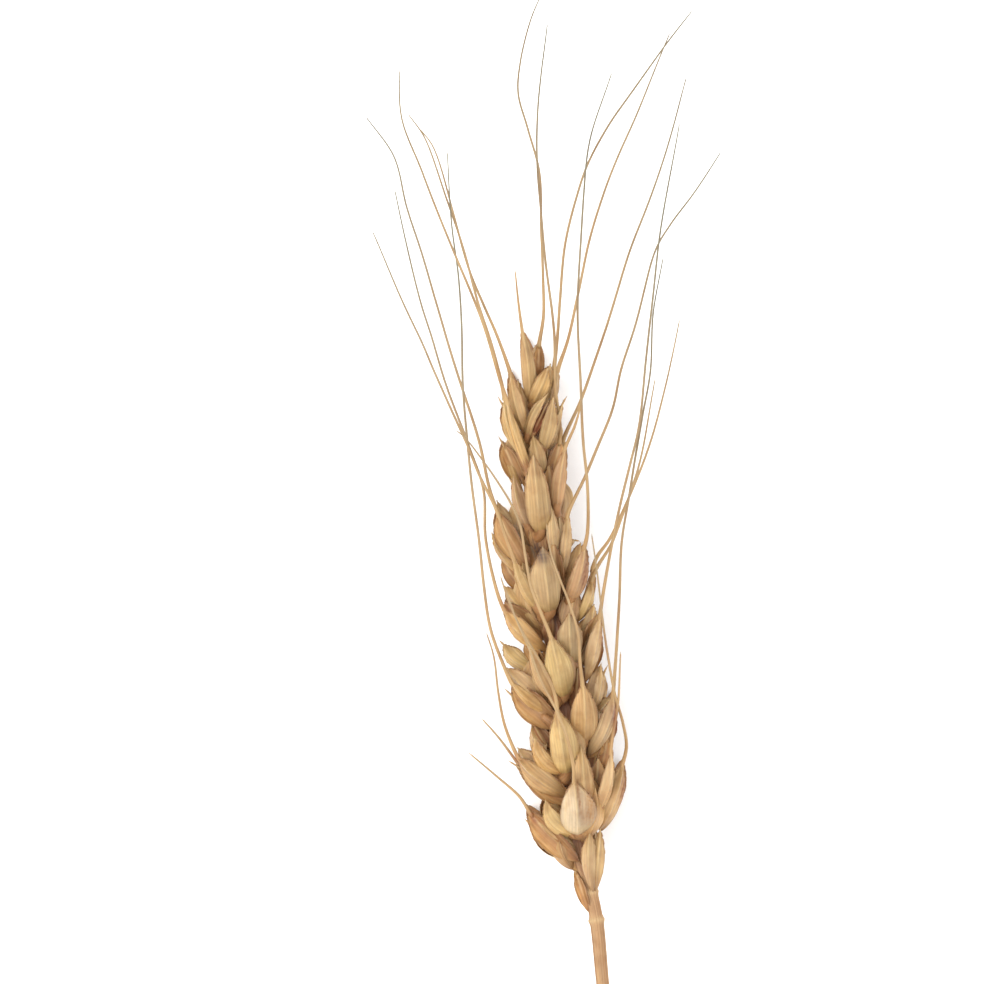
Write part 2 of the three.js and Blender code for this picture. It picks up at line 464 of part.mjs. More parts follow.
// Radius of the straw or the rachis at a height up the ear, with its two collars.
function strawRadiusAt(y) {
  const [[, foot], top] = [strawPath[0], strawPath.at(-1)[1]];
  const [neck, lowest] = collarPlaces;
  const straw = THREE.MathUtils.mapLinear(y, foot, neck, strawFootRadius, strawRadius);
  const rachis = THREE.MathUtils.mapLinear(y, lowest, top, rachisRadius, rachisTipRadius);
  const collar = collarPlaces.map((place) => Math.exp(-(((y - place) / collarLength) ** 2)));
  return (y < neck ? straw : Math.min(rachis, rachisRadius)) + collarRise * Math.max(...collar);
}

// The straw with the rachis as its upper end.
function straw(grow = 0) {
  const path = new THREE.CatmullRomCurve3(strawPath.map(([x, y]) => vector([x, y, axisHeight])));
  const rings = Array.from({ length: strawSteps + 1 }, (_, step) => {
    const centre = path.getPointAt(step / strawSteps);
    const ahead = path.getTangentAt(step / strawSteps);
    const side = new THREE.Vector3(0, 0, 1).cross(ahead).normalize();
    const radius = strawRadiusAt(centre.y) + grow;
    return Array.from({ length: strawSides }, (_, corner) => {
      const angle = (corner / strawSides) * 2 * Math.PI;
      return centre.clone()
        .addScaledVector(side, -radius * Math.sin(angle))
        .add(new THREE.Vector3(0, 0, radius * Math.cos(angle)));
    });
  });
  return skin(rings, path.getPointAt(0), path.getPointAt(1));
}

// The largest piece that a cut leaves, without loose scraps.
function largest(solid) {
  return solid.decompose().reduce((best, piece) => (piece.volume() > best.volume() ? piece : best));
}

function mesh(name, solid, colour) {
  const { vertProperties, triVerts } = solid.getMesh();
  const geometry = new THREE.BufferGeometry();
  geometry.setAttribute('position', new THREE.BufferAttribute(vertProperties, 3));
  geometry.setIndex(new THREE.BufferAttribute(triVerts, 1));
  geometry.computeVertexNormals();
  const material = new THREE.MeshStandardMaterial({ color: colour, roughness: 0.7, metalness: 0 });
  const part = new THREE.Mesh(geometry, material);
  part.name = name;
  return part;
}

const ear = new THREE.Group();
ear.add(mesh('straw_and_rachis', straw(), strawColour));

// Each spikelet is flat where the surface presses it, and gives way to the rachis and to those below.
const slabWidth = 300;
const slabDepth = 40;
const slab = new THREE.BoxGeometry(slabWidth, slabWidth, slabDepth).translate(0, 0, -slabDepth / 2);
const inTheWay = [straw(gap), solidOf(slab)];
spikelets.forEach((shape, place) => {
  const solid = inTheWay.reduce((rest, other) => rest.subtract(other), spikelet(shape));
  ear.add(mesh(shape.name, largest(solid), chaffColours[place % chaffColours.length]));
  inTheWay.push(spikelet(shape, gap));
});

export default ear;
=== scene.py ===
# A ripe bearded wheat ear with a length of straw, lying on a pale table, seen from straight above.
import math

import bpy
import numpy as np
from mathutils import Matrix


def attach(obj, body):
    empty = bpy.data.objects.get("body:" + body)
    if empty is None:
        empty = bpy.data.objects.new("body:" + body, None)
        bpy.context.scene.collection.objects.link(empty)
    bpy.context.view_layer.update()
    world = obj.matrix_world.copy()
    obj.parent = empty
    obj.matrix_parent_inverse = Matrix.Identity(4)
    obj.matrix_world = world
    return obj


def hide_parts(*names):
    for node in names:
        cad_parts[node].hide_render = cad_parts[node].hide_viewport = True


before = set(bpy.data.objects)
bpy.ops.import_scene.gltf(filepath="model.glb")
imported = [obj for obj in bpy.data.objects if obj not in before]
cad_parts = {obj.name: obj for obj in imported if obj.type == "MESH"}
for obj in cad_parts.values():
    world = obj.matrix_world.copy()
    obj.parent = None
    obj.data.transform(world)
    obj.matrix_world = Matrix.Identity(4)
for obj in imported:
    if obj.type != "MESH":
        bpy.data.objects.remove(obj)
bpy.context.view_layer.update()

mm = 0.001
axisHeight = 8  # mm from the table to the middle of the rachis

# The spikelets from the lowest to the top one, in mm. A bract is (foot, tip, width, face, bend,
# tone, twin below, thread). Face is where its keel looks, in degrees from the right side up over
# the ear, and bend curves it sideways, as a share of its length.
# The thread is the beak or awn that the keel runs out into. A bract that stops after its tone has no
# twin and no thread.
spikelets = [
    {"node": "spikelet_01", "place": -54.4, "side": 160, "size": 0, "bracts": [
        ((6.7, -54, 7.8), (4.4, -47.4, 7.8), 1.5, 110, -0.02, "rust", False, [(4.3, -46.7, 7.4)]),
    ]},
    {"node": "spikelet_02", "place": -50.8, "side": 60, "size": 0, "bracts": [
        ((7, -50.8, 9.4), (6.6, -42.1, 11), 2.2, 105, 0, "pale"),
        ((7.3, -50.8, 9.2), (8, -41.9, 10.6), 2, 90, 0, "straw"),
        ((7.4, -50.5, 9.2), (8, -43.1, 9.8), 1.7, 78, 0.04, "straw"),
    ]},
    {"node": "spikelet_03", "place": -47.3, "side": 175, "size": 0.8, "bracts": [
        ((4.8, -46.7, 7.8), (-1.8, -41.1, 7.3), 3.1, 212, 0.01, "gold", False, [(-2.7, -40.6, 7)]),
        ((5, -46.6, 9), (-2.2, -39.1, 9), 3.5, 118, 0, "rust", True, [
            (-3.2, -37.6, 9.2), (-6.4, -34.7, 10.4), (-10.5, -31.2, 12),
        ]),
        ((4.8, -45, 8.4), (-1.3, -39.7, 8.4), 2.4, 120, 0, "pale"),
        ((5.2, -46.4, 6.6), (-0.1, -41.4, 4), 3.4, 240, 0, "straw"),
        ((5.6, -48.1, 8), (4.1, -45.9, 8.2), 1.7, 120, 0, "rust"),
    ]},
    {"node": "spikelet_04", "place": -43.3, "side": 62, "size": 1, "bracts": [
        ((4.8, -42.6, 10.4), (4.3, -35, 14.7), 5.3, 88, 0, "white", True, [
            (4.2, -33.1, 16.2), (3.1, -28.5, 17.6), (1.7, -24.9, 18), (0, -21.6, 18), (-2, -16.5, 18),
            (-3.8, -12.5, 18.4), (-5.2, -8.3, 19),
        ]),
        ((4.9, -42.8, 9.8), (0.4, -37.9, 12), 3.1, 125, 0.09, "yellow", True, []),
        ((7.1, -40.4, 10), (9.4, -30.6, 12.8), 2.1, 60, 0, "pale", False, [
            (9.8, -28.5, 13.4), (10.4, -24.6, 14.4), (10.8, -17, 15.6),
        ]),
        ((7.8, -42.2, 8.8), (11.2, -32.6, 9.9), 2.9, 68, 0.02, "straw", True, [
            (11.7, -30.6, 10.6), (11.2, -27.1, 13), (9.9, -22.6, 15), (8.8, -16.3, 16.4),
            (7.8, -8.6, 17.6), (6.6, -0.6, 19),
        ]),
        ((8, -42.5, 7.2), (10.5, -34.4, 7.2), 2.5, 42, 0.02, "straw"),
        ((5.7, -41.1, 10.4), (5.2, -30.2, 13), 3.1, 85, 0, "straw"),
        ((7.4, -40.8, 9.2), (9.4, -32.7, 10.4), 2.4, 60, 0, "rust"),
        ((6.6, -40.1, 9), (7.7, -32.1, 10.4), 3.1, 75, 0, "rust"),
        ((7.4, -44.7, 8.6), (7.1, -41.7, 9), 1.1, 85, 0, "pink"),
        ((7.7, -34.7, 8.2), (9, -29.3, 9.2), 2.1, 75, 0, "rust"),
        ((6.6, -35.2, 8), (7.4, -31, 8.6), 2.4, 80, 0, "brown"),
    ]},
    {"node": "spikelet_05", "place": -37.3, "side": 170, "size": 1, "bracts": [
        ((3.4, -34.4, 10.6), (1.9, -24.8, 15), 4.1, 92, 0, "yellow", True, [
            (1.8, -23.7, 15.6), (1, -21.2, 16.2), (-0.7, -17.9, 16.2), (-2.9, -14.2, 16),
            (-4.6, -10.7, 16.4), (-6, -6.5, 17),
        ]),
        ((3.2, -34.2, 10), (-1.1, -29.2, 12.4), 2.8, 122, 0.08, "gold"),
        ((4.9, -33.5, 10.2), (2.7, -26, 13.2), 3.4, 75, 0, "straw"),
        ((3.8, -37.6, 9.2), (-3.7, -31.8, 9.8), 3.4, 118, 0, "straw", False, [
            (-5.2, -27.8, 10.4), (-6.2, -22.9, 11.4), (-6.9, -17.9, 12.6), (-8, -14.4, 13.6),
        ]),
        ((3.5, -36.6, 8.2), (-3.5, -30.7, 8.2), 3.4, 118, 0, "pale"),
        ((4.1, -38.9, 9), (-3.9, -33.1, 8.7), 3.6, 105, -0.06, "rust", True, [(-5, -32.4, 8.6)]),
        ((4.2, -41.4, 7.6), (-3.1, -33.5, 7), 2.2, 165, -0.12, "gold", False, [
            (-6.2, -29.3, 6.2), (-8.7, -26.5, 5.6),
        ]),
        ((2, -33, 8.6), (-1.5, -27.4, 8), 2.5, 122, 0.02, "straw"),
        ((3.9, -37.6, 8), (2.2, -33.2, 8.4), 2.1, 100, 0, "brown"),
        ((3.1, -32.7, 8.2), (-1.3, -27, 8.6), 2.2, 112, 0, "brown"),
    ]},
    {"node": "spikelet_06", "place": -31, "side": 5, "size": 1, "bracts": [
        ((5.6, -30, 10.4), (5.5, -21.4, 14.5), 3.9, 85, 0, "straw", True, [
            (5.2, -19, 15.8), (4.9, -14.5, 16.6), (3.6, -10.4, 17.2), (2.4, -7.4, 17.2),
            (1.1, -3.7, 17.2), (0.4, 0.9, 17.4),
        ]),
        ((6.2, -31.9, 9.4), (9.8, -23, 11.6), 2.8, 62, 0, "pale", True, [
            (10.2, -17.9, 12.6), (10.7, -10, 13.6), (10.9, -2, 14.4), (12, 4.6, 15), (13.7, 15.3, 16),
            (15, 22.2, 16.6), (15.4, 30.3, 17.2), (16.7, 37.9, 18),
        ]),
        ((6.3, -32.1, 7.4), (9.8, -25.1, 8.2), 2.5, 40, 0, "rust"),
        ((7, -25.7, 9.6), (8.1, -19.5, 10.8), 1.7, 75, 0, "pale", False, [(8.1, -18.6, 11)]),
        ((7.6, -25.1, 8.6), (8.5, -20, 9.6), 1.4, 75, 0, "straw", False, [(9.1, -19, 9.8)]),
        ((6, -32.4, 9), (6.9, -28.9, 10.4), 3.4, 75, 0, "rust"),
        ((6.9, -26.4, 8.8), (9.5, -23.6, 9.8), 2, 85, 0, "straw"),
        ((4.6, -26, 8), (4.8, -17.7, 8.4), 2.9, 90, 0, "brown"),
        ((6.3, -24.3, 8.4), (8.1, -19, 9.2), 2.1, 80, 0, "pale"),
    ]},
    {"node": "spikelet_07", "place": -25.7, "side": 172, "size": 1, "bracts": [
        ((2.9, -23.7, 10.6), (1, -14.6, 14.8), 3.9, 90, 0, "yellow", True, [
            (-0.3, -11.7, 15.8), (-1.8, -7.9, 16.2), (-2.5, -4.1, 16.4), (-3.2, 0.5, 16.6),
            (-4.5, 3.6, 17), (-6.3, 6.5, 17.4), (-8.2, 9.2, 17.8), (-10.9, 12.7, 18.4),
            (-12.2, 13.8, 18.6),
        ]),
        ((3.5, -22.6, 10.4), (2, -15.6, 13.2), 3.1, 72, 0, "pink"),
        ((2, -24.4, 10.8), (-1.8, -16.2, 14.4), 2.4, 115, 0, "straw"),
        ((1.4, -26.3, 8.8), (-4.6, -21.3, 9.9), 1.8, 115, 0, "gold", False, [
            (-5.7, -18.6, 10.2), (-7.3, -14.1, 10.6), (-8.3, -7.9, 11), (-9, -1.6, 11.4),
            (-10.1, 8.1, 12), (-11.1, 18.6, 12.6), (-11.3, 27.7, 13.2), (-11.9, 35.2, 13.8),
            (-12.7, 41.7, 14.4), (-13.4, 52.7, 15.2),
        ]),
        ((1.8, -24.9, 8.2), (-5, -19.5, 8.6), 3.2, 118, 0, "pale"),
        ((2, -27.7, 9.8), (-4.3, -21.9, 8.6), 4.1, 115, 0, "rust", True, []),
        ((1.1, -28.6, 7.4), (-4.5, -23.2, 7.4), 2, 155, -0.08, "gold", False, [(-5.5, -22.3, 7.4)]),
    ]},
    {"node": "spikelet_08", "place": -19.5, "side": 5, "size": 1, "bracts": [
        ((3.9, -19.1, 10.4), (3.6, -11.7, 13.4), 3.5, 90, 0, "grey", True, []),
        ((6, -21.5, 9.2), (8, -11.8, 11.5), 2.1, 72, 0.03, "pale", True, [
            (8.5, -8.5, 12.4), (9.4, -3.3, 13.4), (10.5, 1.9, 14.4), (12.2, 9.2, 15.8),
            (13.3, 14.4, 16.8), (14.3, 23.6, 18.4), (15, 30.6, 19.6), (16, 39, 21), (17.5, 48.5, 22.6),
            (18.9, 56.4, 24),
        ]),
        ((5.7, -21.6, 7.4), (8, -14.5, 8.2), 2.2, 48, 0.05, "rust"),
        ((5.2, -17.3, 9.6), (7.6, -12, 11.6), 2.1, 72, 0, "rust"),
        ((5.5, -15.9, 8.8), (7.1, -10.6, 9.8), 2, 75, 0, "straw"),
    ]},
    {"node": "spikelet_09", "place": -14.2, "side": 172, "size": 1, "bracts": [
        ((1, -11.8, 10.6), (-0.1, -2.5, 14.4), 4.3, 90, 0, "grey", True, []),
        ((0, -12, 10.2), (-4.2, -3.5, 12.7), 2.1, 118, 0, "gold", False, [
            (-5.3, -0.9, 13.4), (-6.4, 2.3, 14.2), (-9, 7.6, 15.4), (-10.5, 11.6, 16.2),
            (-13.2, 17.6, 17.2), (-15.3, 22.2, 18), (-16.8, 25.8, 18.6), (-19.5, 31.6, 19.4),
            (-23.9, 41.5, 20.6),
        ]),
        ((0.7, -17.3, 9.2), (-5.5, -11.2, 9.5), 2.9, 124, 0, "gold", False, [
            (-6.3, -9.2, 9.4), (-8, -1.6, 8.6), (-8.3, 5.3, 7.8), (-10.4, 11.4, 6.6),
            (-13.3, 19.5, 5.2), (-15.5, 26.7, 4.4), (-17.1, 31.6, 4), (-19.2, 40.4, 3.4),
            (-20.9, 47.7, 3),
        ]),
        ((0.7, -15.6, 8.4), (-5.3, -10.3, 8.6), 3.5, 118, 0, "rust", True, []),
        ((0.6, -13.4, 7.6), (-5.3, -8.1, 7.8), 3.1, 122, 0, "gold"),
        ((-1.1, -19.8, 7.6), (-5.6, -16, 7.8), 2.8, 118, 0.05, "yellow", False, [(-6.2, -15.6, 7.6)]),
        ((0.7, -19.8, 8.2), (-2.4, -15.3, 8.8), 2.4, 118, 0, "rust"),
        ((0.8, -16.7, 8), (0.6, -10.3, 8.6), 2.1, 90, 0, "brown"),
        ((1, -27.4, 8), (1.3, -23.2, 8.6), 1.5, 90, 0, "brown"),
    ]},
    {"node": "spikelet_10", "place": -10.3, "side": 5, "size": 0.8, "bracts": [
        ((3.6, -10.3, 10.2), (5.8, -2.3, 13.5), 2.7, 75, 0, "pink", True, [
            (6.2, -0.6, 14.2), (6.2, 5.8, 15.8), (5.6, 12.3, 17.2), (5.2, 18.7, 18.6),
            (4.8, 27.8, 20.2), (4.9, 34.8, 21.2), (5.7, 46.7, 22.8), (6.6, 54.4, 23.8),
            (9.5, 63.4, 25),
        ]),
        ((4.8, -13.1, 8.8), (6.8, -6.9, 10.1), 1.8, 62, 0, "yellow", False, [
            (7.6, -5.4, 10.2), (9.7, -2, 10.4), (12.5, 5.8, 10.4), (13.7, 10.2, 10.4),
            (15.7, 21.1, 10.6),
        ]),
        ((2.8, -7.2, 8.4), (5.2, -2, 9), 2.1, 65, 0, "straw"),
        ((2.4, -10, 9.6), (1.4, -1.9, 12), 2.5, 95, 0, "rust"),
        ((4.3, -12.5, 7.4), (6.9, -5.3, 7.4), 2, 42, 0, "rust", False, [
            (7.6, -4, 7.2), (9.4, -1.5, 7), (11.5, 3, 6.6), (15.1, 12.3, 5.8), (16.9, 18.7, 5.4),
            (19.2, 29.5, 5),
        ]),
        ((3.2, -14.2, 8.6), (4.3, -8.1, 9.6), 3.2, 82, 0, "pink"),
        ((2.4, -12.8, 8.2), (2.7, -6.9, 9), 2.1, 90, 0, "brown"),
    ]},
    {"node": "spikelet_11", "place": -3, "side": 172, "size": 0.85, "bracts": [
        ((-0.3, -0.9, 10.6), (-1.4, 10.4, 14.2), 3.6, 90, 0, "striped", True, []),
        ((-1.7, -0.6, 9.8), (-4.1, 7.5, 12), 2.2, 108, 0, "pink"),
        ((-1.8, -5.5, 9.2), (-6.4, 2.6, 9.5), 3.6, 115, 0, "rust", True, [
            (-7.4, 5.3, 9.2), (-9, 12.3, 8.4), (-11.3, 19.8, 7.6), (-13.4, 26.4, 6.8),
            (-15, 31.9, 6.2), (-16.8, 38.3, 5.6), (-19.2, 45.3, 5), (-21, 52.3, 4.4), (-24.9, 57.9, 4),
        ]),
        ((-2.9, -0.8, 8.2), (-6.4, 3.9, 8.2), 1.4, 125, 0, "grey"),
        ((-1.8, -7.2, 8), (-7.1, -0.6, 8), 2.1, 130, 0, "gold"),
        ((-2.2, -9.2, 7.2), (-5.7, -3.9, 7), 2.1, 125, 0, "rust"),
        ((0, -4.4, 9.2), (-1.5, 1.8, 10.4), 2.5, 92, 0, "rust"),
        ((-0.4, -6.4, 8.4), (-2, -1.1, 9.2), 2.4, 100, 0, "rust"),
        ((-1.1, -9.7, 8.2), (-2.8, -4.1, 8.8), 2.2, 110, 0, "straw"),
    ]},
    {"node": "spikelet_12", "place": 0.9, "side": 5, "size": 0.65, "bracts": [
        ((1.8, 1.9, 10.2), (3.2, 11.8, 13), 2.1, 86, 0.03, "pink", True, [
            (4.5, 14.5, 13.8), (5.6, 18.7, 14.8),
        ]),
        ((2.5, -6.8, 9.8), (3.5, 2.6, 11.1), 1.7, 85, 0, "pale", False, [
            (6, 7.4, 11.4), (7.6, 11.3, 11.6), (9.7, 16.7, 11.8), (10.9, 22.1, 12), (12.7, 27.8, 12.4),
            (15.6, 38.7, 13.2), (17.8, 42.4, 13.6), (21, 46.7, 14), (24.9, 52.7, 14.6),
        ]),
        ((1.5, -4.4, 10), (1.1, 3.3, 11.8), 1.7, 90, 0, "pale"),
        ((2.4, -2.5, 8), (4.5, -1.6, 8), 1.3, 75, 0, "straw", False, [(5.2, -1.8, 8)]),
        ((1.8, -4.1, 7.6), (2.8, 1.8, 8.2), 1.7, 50, 0, "rust"),
        ((1.1, 0.6, 9), (0.8, 9, 10.4), 2.5, 85, 0, "rust"),
        ((0.8, 6.5, 8.6), (0.4, 12.7, 9.4), 1.5, 90, 0, "brown"),
        ((2.4, -2.6, 8.6), (2.1, 2.6, 9.6), 1.5, 88, 0, "straw"),
    ]},
    {"node": "spikelet_13", "place": 8.5, "side": 172, "size": 0.6, "bracts": [
        ((-2.9, 6.2, 8.8), (-5.6, 12, 9), 2.8, 105, 0, "rust", True, [(-6.3, 13, 9)]),
        ((-2.4, 4, 8), (-5.3, 11.3, 8), 1.4, 115, 0, "gold"),
        ((-2.8, 10.7, 10), (-5.6, 17.4, 11.6), 2.4, 108, 0, "gold", True, [(-6.4, 18.6, 11.8)]),
        ((-1.4, 6.8, 11.2), (-5.3, 18.9, 13.4), 1.3, 100, 0, "gold", False, [
            (-6, 20.8, 14), (-8.3, 28.5, 16), (-12.3, 38, 18.4), (-16.8, 49.5, 21),
            (-19.6, 56.8, 22.6), (-19.9, 63.8, 24),
        ]),
        ((-2, 8.2, 10.4), (-5.5, 19.5, 12.1), 1.3, 115, 0, "gold", False, [
            (-7, 24.9, 12.6), (-9, 31.3, 13), (-10.9, 38.3, 13.4), (-13.2, 45.3, 13.8),
            (-16.4, 54.4, 14.4), (-19, 58, 14.8),
        ]),
        ((-0.4, 7.4, 10.2), (-1.4, 13, 11.8), 2.5, 90, 0, "straw"),
        ((-1.7, 4.8, 8.6), (-2.7, 9.3, 9), 1.4, 105, 0, "rust"),
        ((-1.7, 7.9, 9), (-2.8, 14.4, 10), 1.7, 100, 0, "straw"),
    ]},
    {"node": "spikelet_14", "place": 10.7, "side": 5, "size": 0.55, "bracts": [
        ((-2.2, 12.1, 10.4), (0.7, 18.8, 13), 1.5, 110, 0.05, "striped"),
        ((-1.7, 12.7, 10.6), (0.8, 17.9, 12.2), 1.5, 90, 0, "grain"),
        ((-0.3, 10.4, 10.2), (1.4, 18.4, 12.8), 2.2, 82, 0, "striped", True, []),
        ((0.6, 10.7, 9.4), (2.9, 17.9, 11.2), 1.3, 95, 0, "pale", False, [(3.4, 18.6, 11.4)]),
        ((0.8, 6.5, 8.8), (2.4, 12.5, 10.1), 2.4, 78, 0, "rust", False, [
            (2.4, 14.5, 11), (1.8, 19.4, 12.6), (1.5, 27.2, 13.8), (0.3, 37.6, 15.2), (-0.3, 43.6, 16),
            (-0.8, 50.2, 17), (-0.7, 57.6, 18), (-0.3, 63.1, 18.8), (0.6, 70.4, 20),
        ]),
        ((0.8, 6.2, 7.8), (2.8, 12.7, 8.1), 2, 50, 0, "straw", False, [
            (5.2, 17.7, 7.8), (7, 22.6, 7.2), (8.8, 27.8, 6.6), (11.9, 37.9, 5.4), (15, 46, 4.6),
            (18.1, 55.8, 3.8), (20.2, 63.5, 3.2),
        ]),
        ((-0.8, 10.4, 9.2), (-1.4, 14.9, 9.6), 1.4, 95, 0, "brown"),
    ]},
    {"node": "spikelet_15", "place": 16, "side": 150, "size": 0.45, "bracts": [
        ((-2.2, 13, 10.2), (-4.6, 22.2, 12.2), 2.1, 105, 0, "straw", True, [
            (-6.2, 26.4, 12.4), (-8.3, 31.3, 12.2), (-10.1, 35.8, 11.8), (-12.7, 44.6, 11),
            (-15.4, 53.4, 10), (-17.2, 55.9, 9.6),
        ]),
        ((-1.7, 17.2, 10), (0.7, 22.5, 12.2), 2.4, 82, 0, "gold", True, []),
        ((-0.3, 16.9, 9), (1, 23, 10.4), 2.1, 78, 0, "straw"),
        ((1, 16.3, 9.2), (2.1, 22.5, 10.5), 1.1, 80, 0, "pink", False, [
            (3.5, 26.4, 11.4), (5, 33.2, 11.2), (6.4, 40, 10.8), (8.3, 46, 10.4), (10.5, 51.9, 9.8),
            (13.2, 58.2, 9.2), (17.8, 69.5, 8),
        ]),
        ((0.3, 16.3, 8), (1.6, 22.9, 8.7), 1.3, 75, 0, "straw", False, [
            (2, 26.4, 8.8), (2.4, 32, 9), (3.2, 39.7, 9), (4.8, 46.7, 8.8), (6.2, 50.9, 8.6),
            (9, 56.1, 8.2), (12.2, 60.8, 7.6), (16.8, 67.3, 7), (21.1, 72.7, 6.4),
        ]),
        ((-2.2, 14.1, 9), (-3.5, 20.8, 10), 1.8, 100, 0, "straw"),
    ]},
    {"node": "spikelet_16", "place": 19.1, "side": 90, "size": 0.4, "bracts": [
        ((-1.8, 16.9, 9.4), (-3, 27.9, 11), 2.2, 90, -0.03, "straw", True, [
            (-3.4, 31.3, 11.6), (-3.9, 36.2, 12.6),
        ]),
        ((-0.8, 19.8, 8.6), (-0.5, 26.2, 9.7), 1.7, 90, 0, "rust", True, [
            (0.1, 29.8, 10), (0, 35.2, 10.4), (-0.2, 41.4, 11), (-0.4, 49.5, 12), (-2.2, 55.9, 12.8),
            (-3.5, 60.7, 13.4), (-3.2, 64.9, 13.8), (-1.8, 70.9, 14.4), (-0.4, 74.4, 15),
        ]),
        ((-1.1, 21.9, 7.8), (-1.1, 25.6, 8.2), 1.3, 90, 0, "grey"),
    ]},
]

tones = {  # what a bract looks like: sRGB of its back, and of its foot and its tip
    # the white tone is a painted highlight: the lit near lemma of spikelet_04, whose right half gets
    # painted shade from the marks
    "white": ((216, 190, 156), (224, 192, 140), (212, 172, 120)),
    "yellow": ((220, 184, 124), (224, 184, 112), (212, 170, 116)),
    "gold": ((214, 172, 112), (208, 160, 98), (212, 170, 114)),
    "straw": ((208, 168, 116), (200, 154, 100), (206, 164, 112)),
    "pale": ((214, 178, 132), (206, 164, 114), (208, 168, 118)),
    # the tone of an open bract seen into its hollow: its darker back and foot are painted shade
    "rust": ((192, 144, 94), (158, 108, 66), (204, 156, 102)),
    # the brown tone is painted shade: dark filler bracts set in the gaps between husks
    "brown": ((158, 110, 70), (136, 90, 54), (172, 122, 80)),
    "grey": ((198, 164, 118), (204, 166, 108), (186, 146, 102)),
    "pink": ((200, 158, 116), (190, 144, 100), (194, 148, 104)),
    "striped": ((206, 168, 116), (206, 166, 104), (200, 156, 108)),
    "grain": ((134, 74, 44), (112, 58, 34), (150, 90, 54)),
}

# small marks of age, and two of painted shade, in mm: the middle, the way it runs in degrees, half its
# length and half its width, its sRGB colour and its strength
marks = [
    ((-0.7, -3.2), -60, 1.9, 0.85, (84, 70, 76), 1),
    ((10.1, -27.1), 97, 2.7, 0.55, (136, 60, 30), 1),
    ((8.4, -16.3), 95, 2.4, 0.5, (136, 68, 38), 0.9),
    ((5.9, -6.1), 82, 2.8, 0.5, (130, 68, 42), 0.95),
    ((11.2, -37.0), 85, 2.8, 0.55, (134, 62, 34), 0.95),
    ((-3.9, -32.0), 120, 1.2, 0.5, (172, 92, 52), 0.7),
    ((-1.4, -40.4), 120, 0.9, 0.45, (166, 88, 50), 0.7),
    ((-5.2, -10.9), 115, 1.1, 0.45, (160, 88, 54), 0.6),
    ((2.8, 1.7), 80, 0.8, 0.3, (168, 92, 54), 0.6),
    # these two are painted shade on the near lemma of spikelet_04: its right half, away from the light, and
    # the dark fold down its keel
    ((6.6, -38.6), 92, 3.0, 0.9, (184, 130, 74), 0.95),
    ((4.95, -37.4), 98, 3.2, 0.3, (150, 98, 52), 1),
]


def linear(rgb):
    # sRGB 0 to 255 into linear colour by the usual 2.4 power with its straight foot, then dimmed
    # for the bright light and made a little warmer
    c = np.asarray(rgb, float) / 255
    return np.where(c <= 0.04045, c / 12.92, ((c + 0.055) / 1.055) ** 2.4) * (0.63, 0.615, 0.575)


def draw(seed, count=1):
    # evenly spread draws from 0 to 1 that depend only on the seed
    k = np.arange(count) + 1.0
    return np.modf(np.abs(np.sin((seed + 0.37) * 12.9898 + k * 78.233) * 43758.5453))[0]


pressed = 2.0  # per mm, how sharply the undersides are bent up at the table


class Skin:
    # gathers the surfaces of one piece: points, faces, the way along them in mm, and their tint;
    # what would sink into the table lies on it, because each height z becomes ln(1 + e^(2z)) / 2
    def __init__(self):
        self.points, self.faces, self.runs, self.tints, self.count = [], [], [], [], 0

    def add(self, points, faces, runs, tints):
        self.points.append(points.reshape(-1, 3))
        self.runs.append(runs.reshape(-1, 2))
        self.tints.append(tints.reshape(-1, 3))
        self.faces += [tuple(face) for face in (faces + self.count).tolist()]
        self.count += len(self.points[-1])

    def make(self, name, node, slot, material, sharp=40):
        mesh = bpy.data.meshes.new(name)
        points = np.concatenate(self.points)
        points[:, 2] = np.logaddexp(0, pressed * points[:, 2]) / pressed
        points = points * mm
        faces = [tuple(dict.fromkeys(face)) for face in self.faces]
        mesh.from_pydata(points.tolist(), [], faces)
        loops = np.empty(len(mesh.loops), dtype=np.int32)
        mesh.loops.foreach_get("vertex_index", loops)
        runs = np.concatenate(self.runs)
        mesh.uv_layers.new(name="run").data.foreach_set("uv", runs[loops].ravel())
        tints = np.concatenate(self.tints)
        colours = np.column_stack([tints, np.ones(len(tints))])
        paint = mesh.color_attributes.new("tint", "FLOAT_COLOR", "POINT")
        paint.data.foreach_set("color", colours.ravel())
        mesh.shade_smooth()
        mesh.set_sharp_from_angle(angle=math.radians(sharp))
        piece = inScene(name, mesh)
        mesh.materials.append(material)
        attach(piece, "root")
        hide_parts(node)
        return piece


def gridFaces(rows, columns, closed=False):
    # quads of a grid, that face along (down the rows) x (along the columns)
    last = columns if closed else columns - 1
    i, j = np.meshgrid(np.arange(rows - 1), np.arange(last), indexing="ij")
    here, beside = i * columns + j, i * columns + (j + 1) % columns
    return np.stack([here, here + columns, beside + columns, beside], -1).reshape(-1, 4)


def tubeFaces(rows, columns):
    # quads of a tube that face outwards, with the first and the last ring drawn together to a point
    faces, last = gridFaces(rows, columns, closed=True)[:, ::-1], (rows - 1) * columns
    return np.where(faces < columns, 0, np.where(faces >= last, last, faces))


def unit(v):
    # the same directions with length 1
    return v / np.linalg.norm(v, axis=-1, keepdims=True)


def around(columns):
    # even turns round a tube, in radians
    return np.linspace(0, 2 * math.pi, columns, endpoint=False)[None, :]


def pairUp(across, along):
    # the places across and along a surface, as one map
    return np.stack(np.broadcast_arrays(across, along), -1)


def inScene(name, data):
    # a new object that is in the scene
    thing = bpy.data.objects.new(name, data)
    bpy.context.collection.objects.link(thing)
    return thing


def frameAlong(path, top=(0, 0, 1.0)):
    # the way ahead at each point of a path, then top x ahead, and ahead x that
    ahead = unit(np.gradient(path, axis=0))
    across = unit(np.cross(np.array(top), ahead))
    return ahead, across, np.cross(ahead, across)


def tube(path, across, up, turns, radius):
    # rings round a path: path + r (cos a across + sin a up)
    return path[:, None] + radius * (np.cos(turns) * across[:, None] + np.sin(turns) * up[:, None])


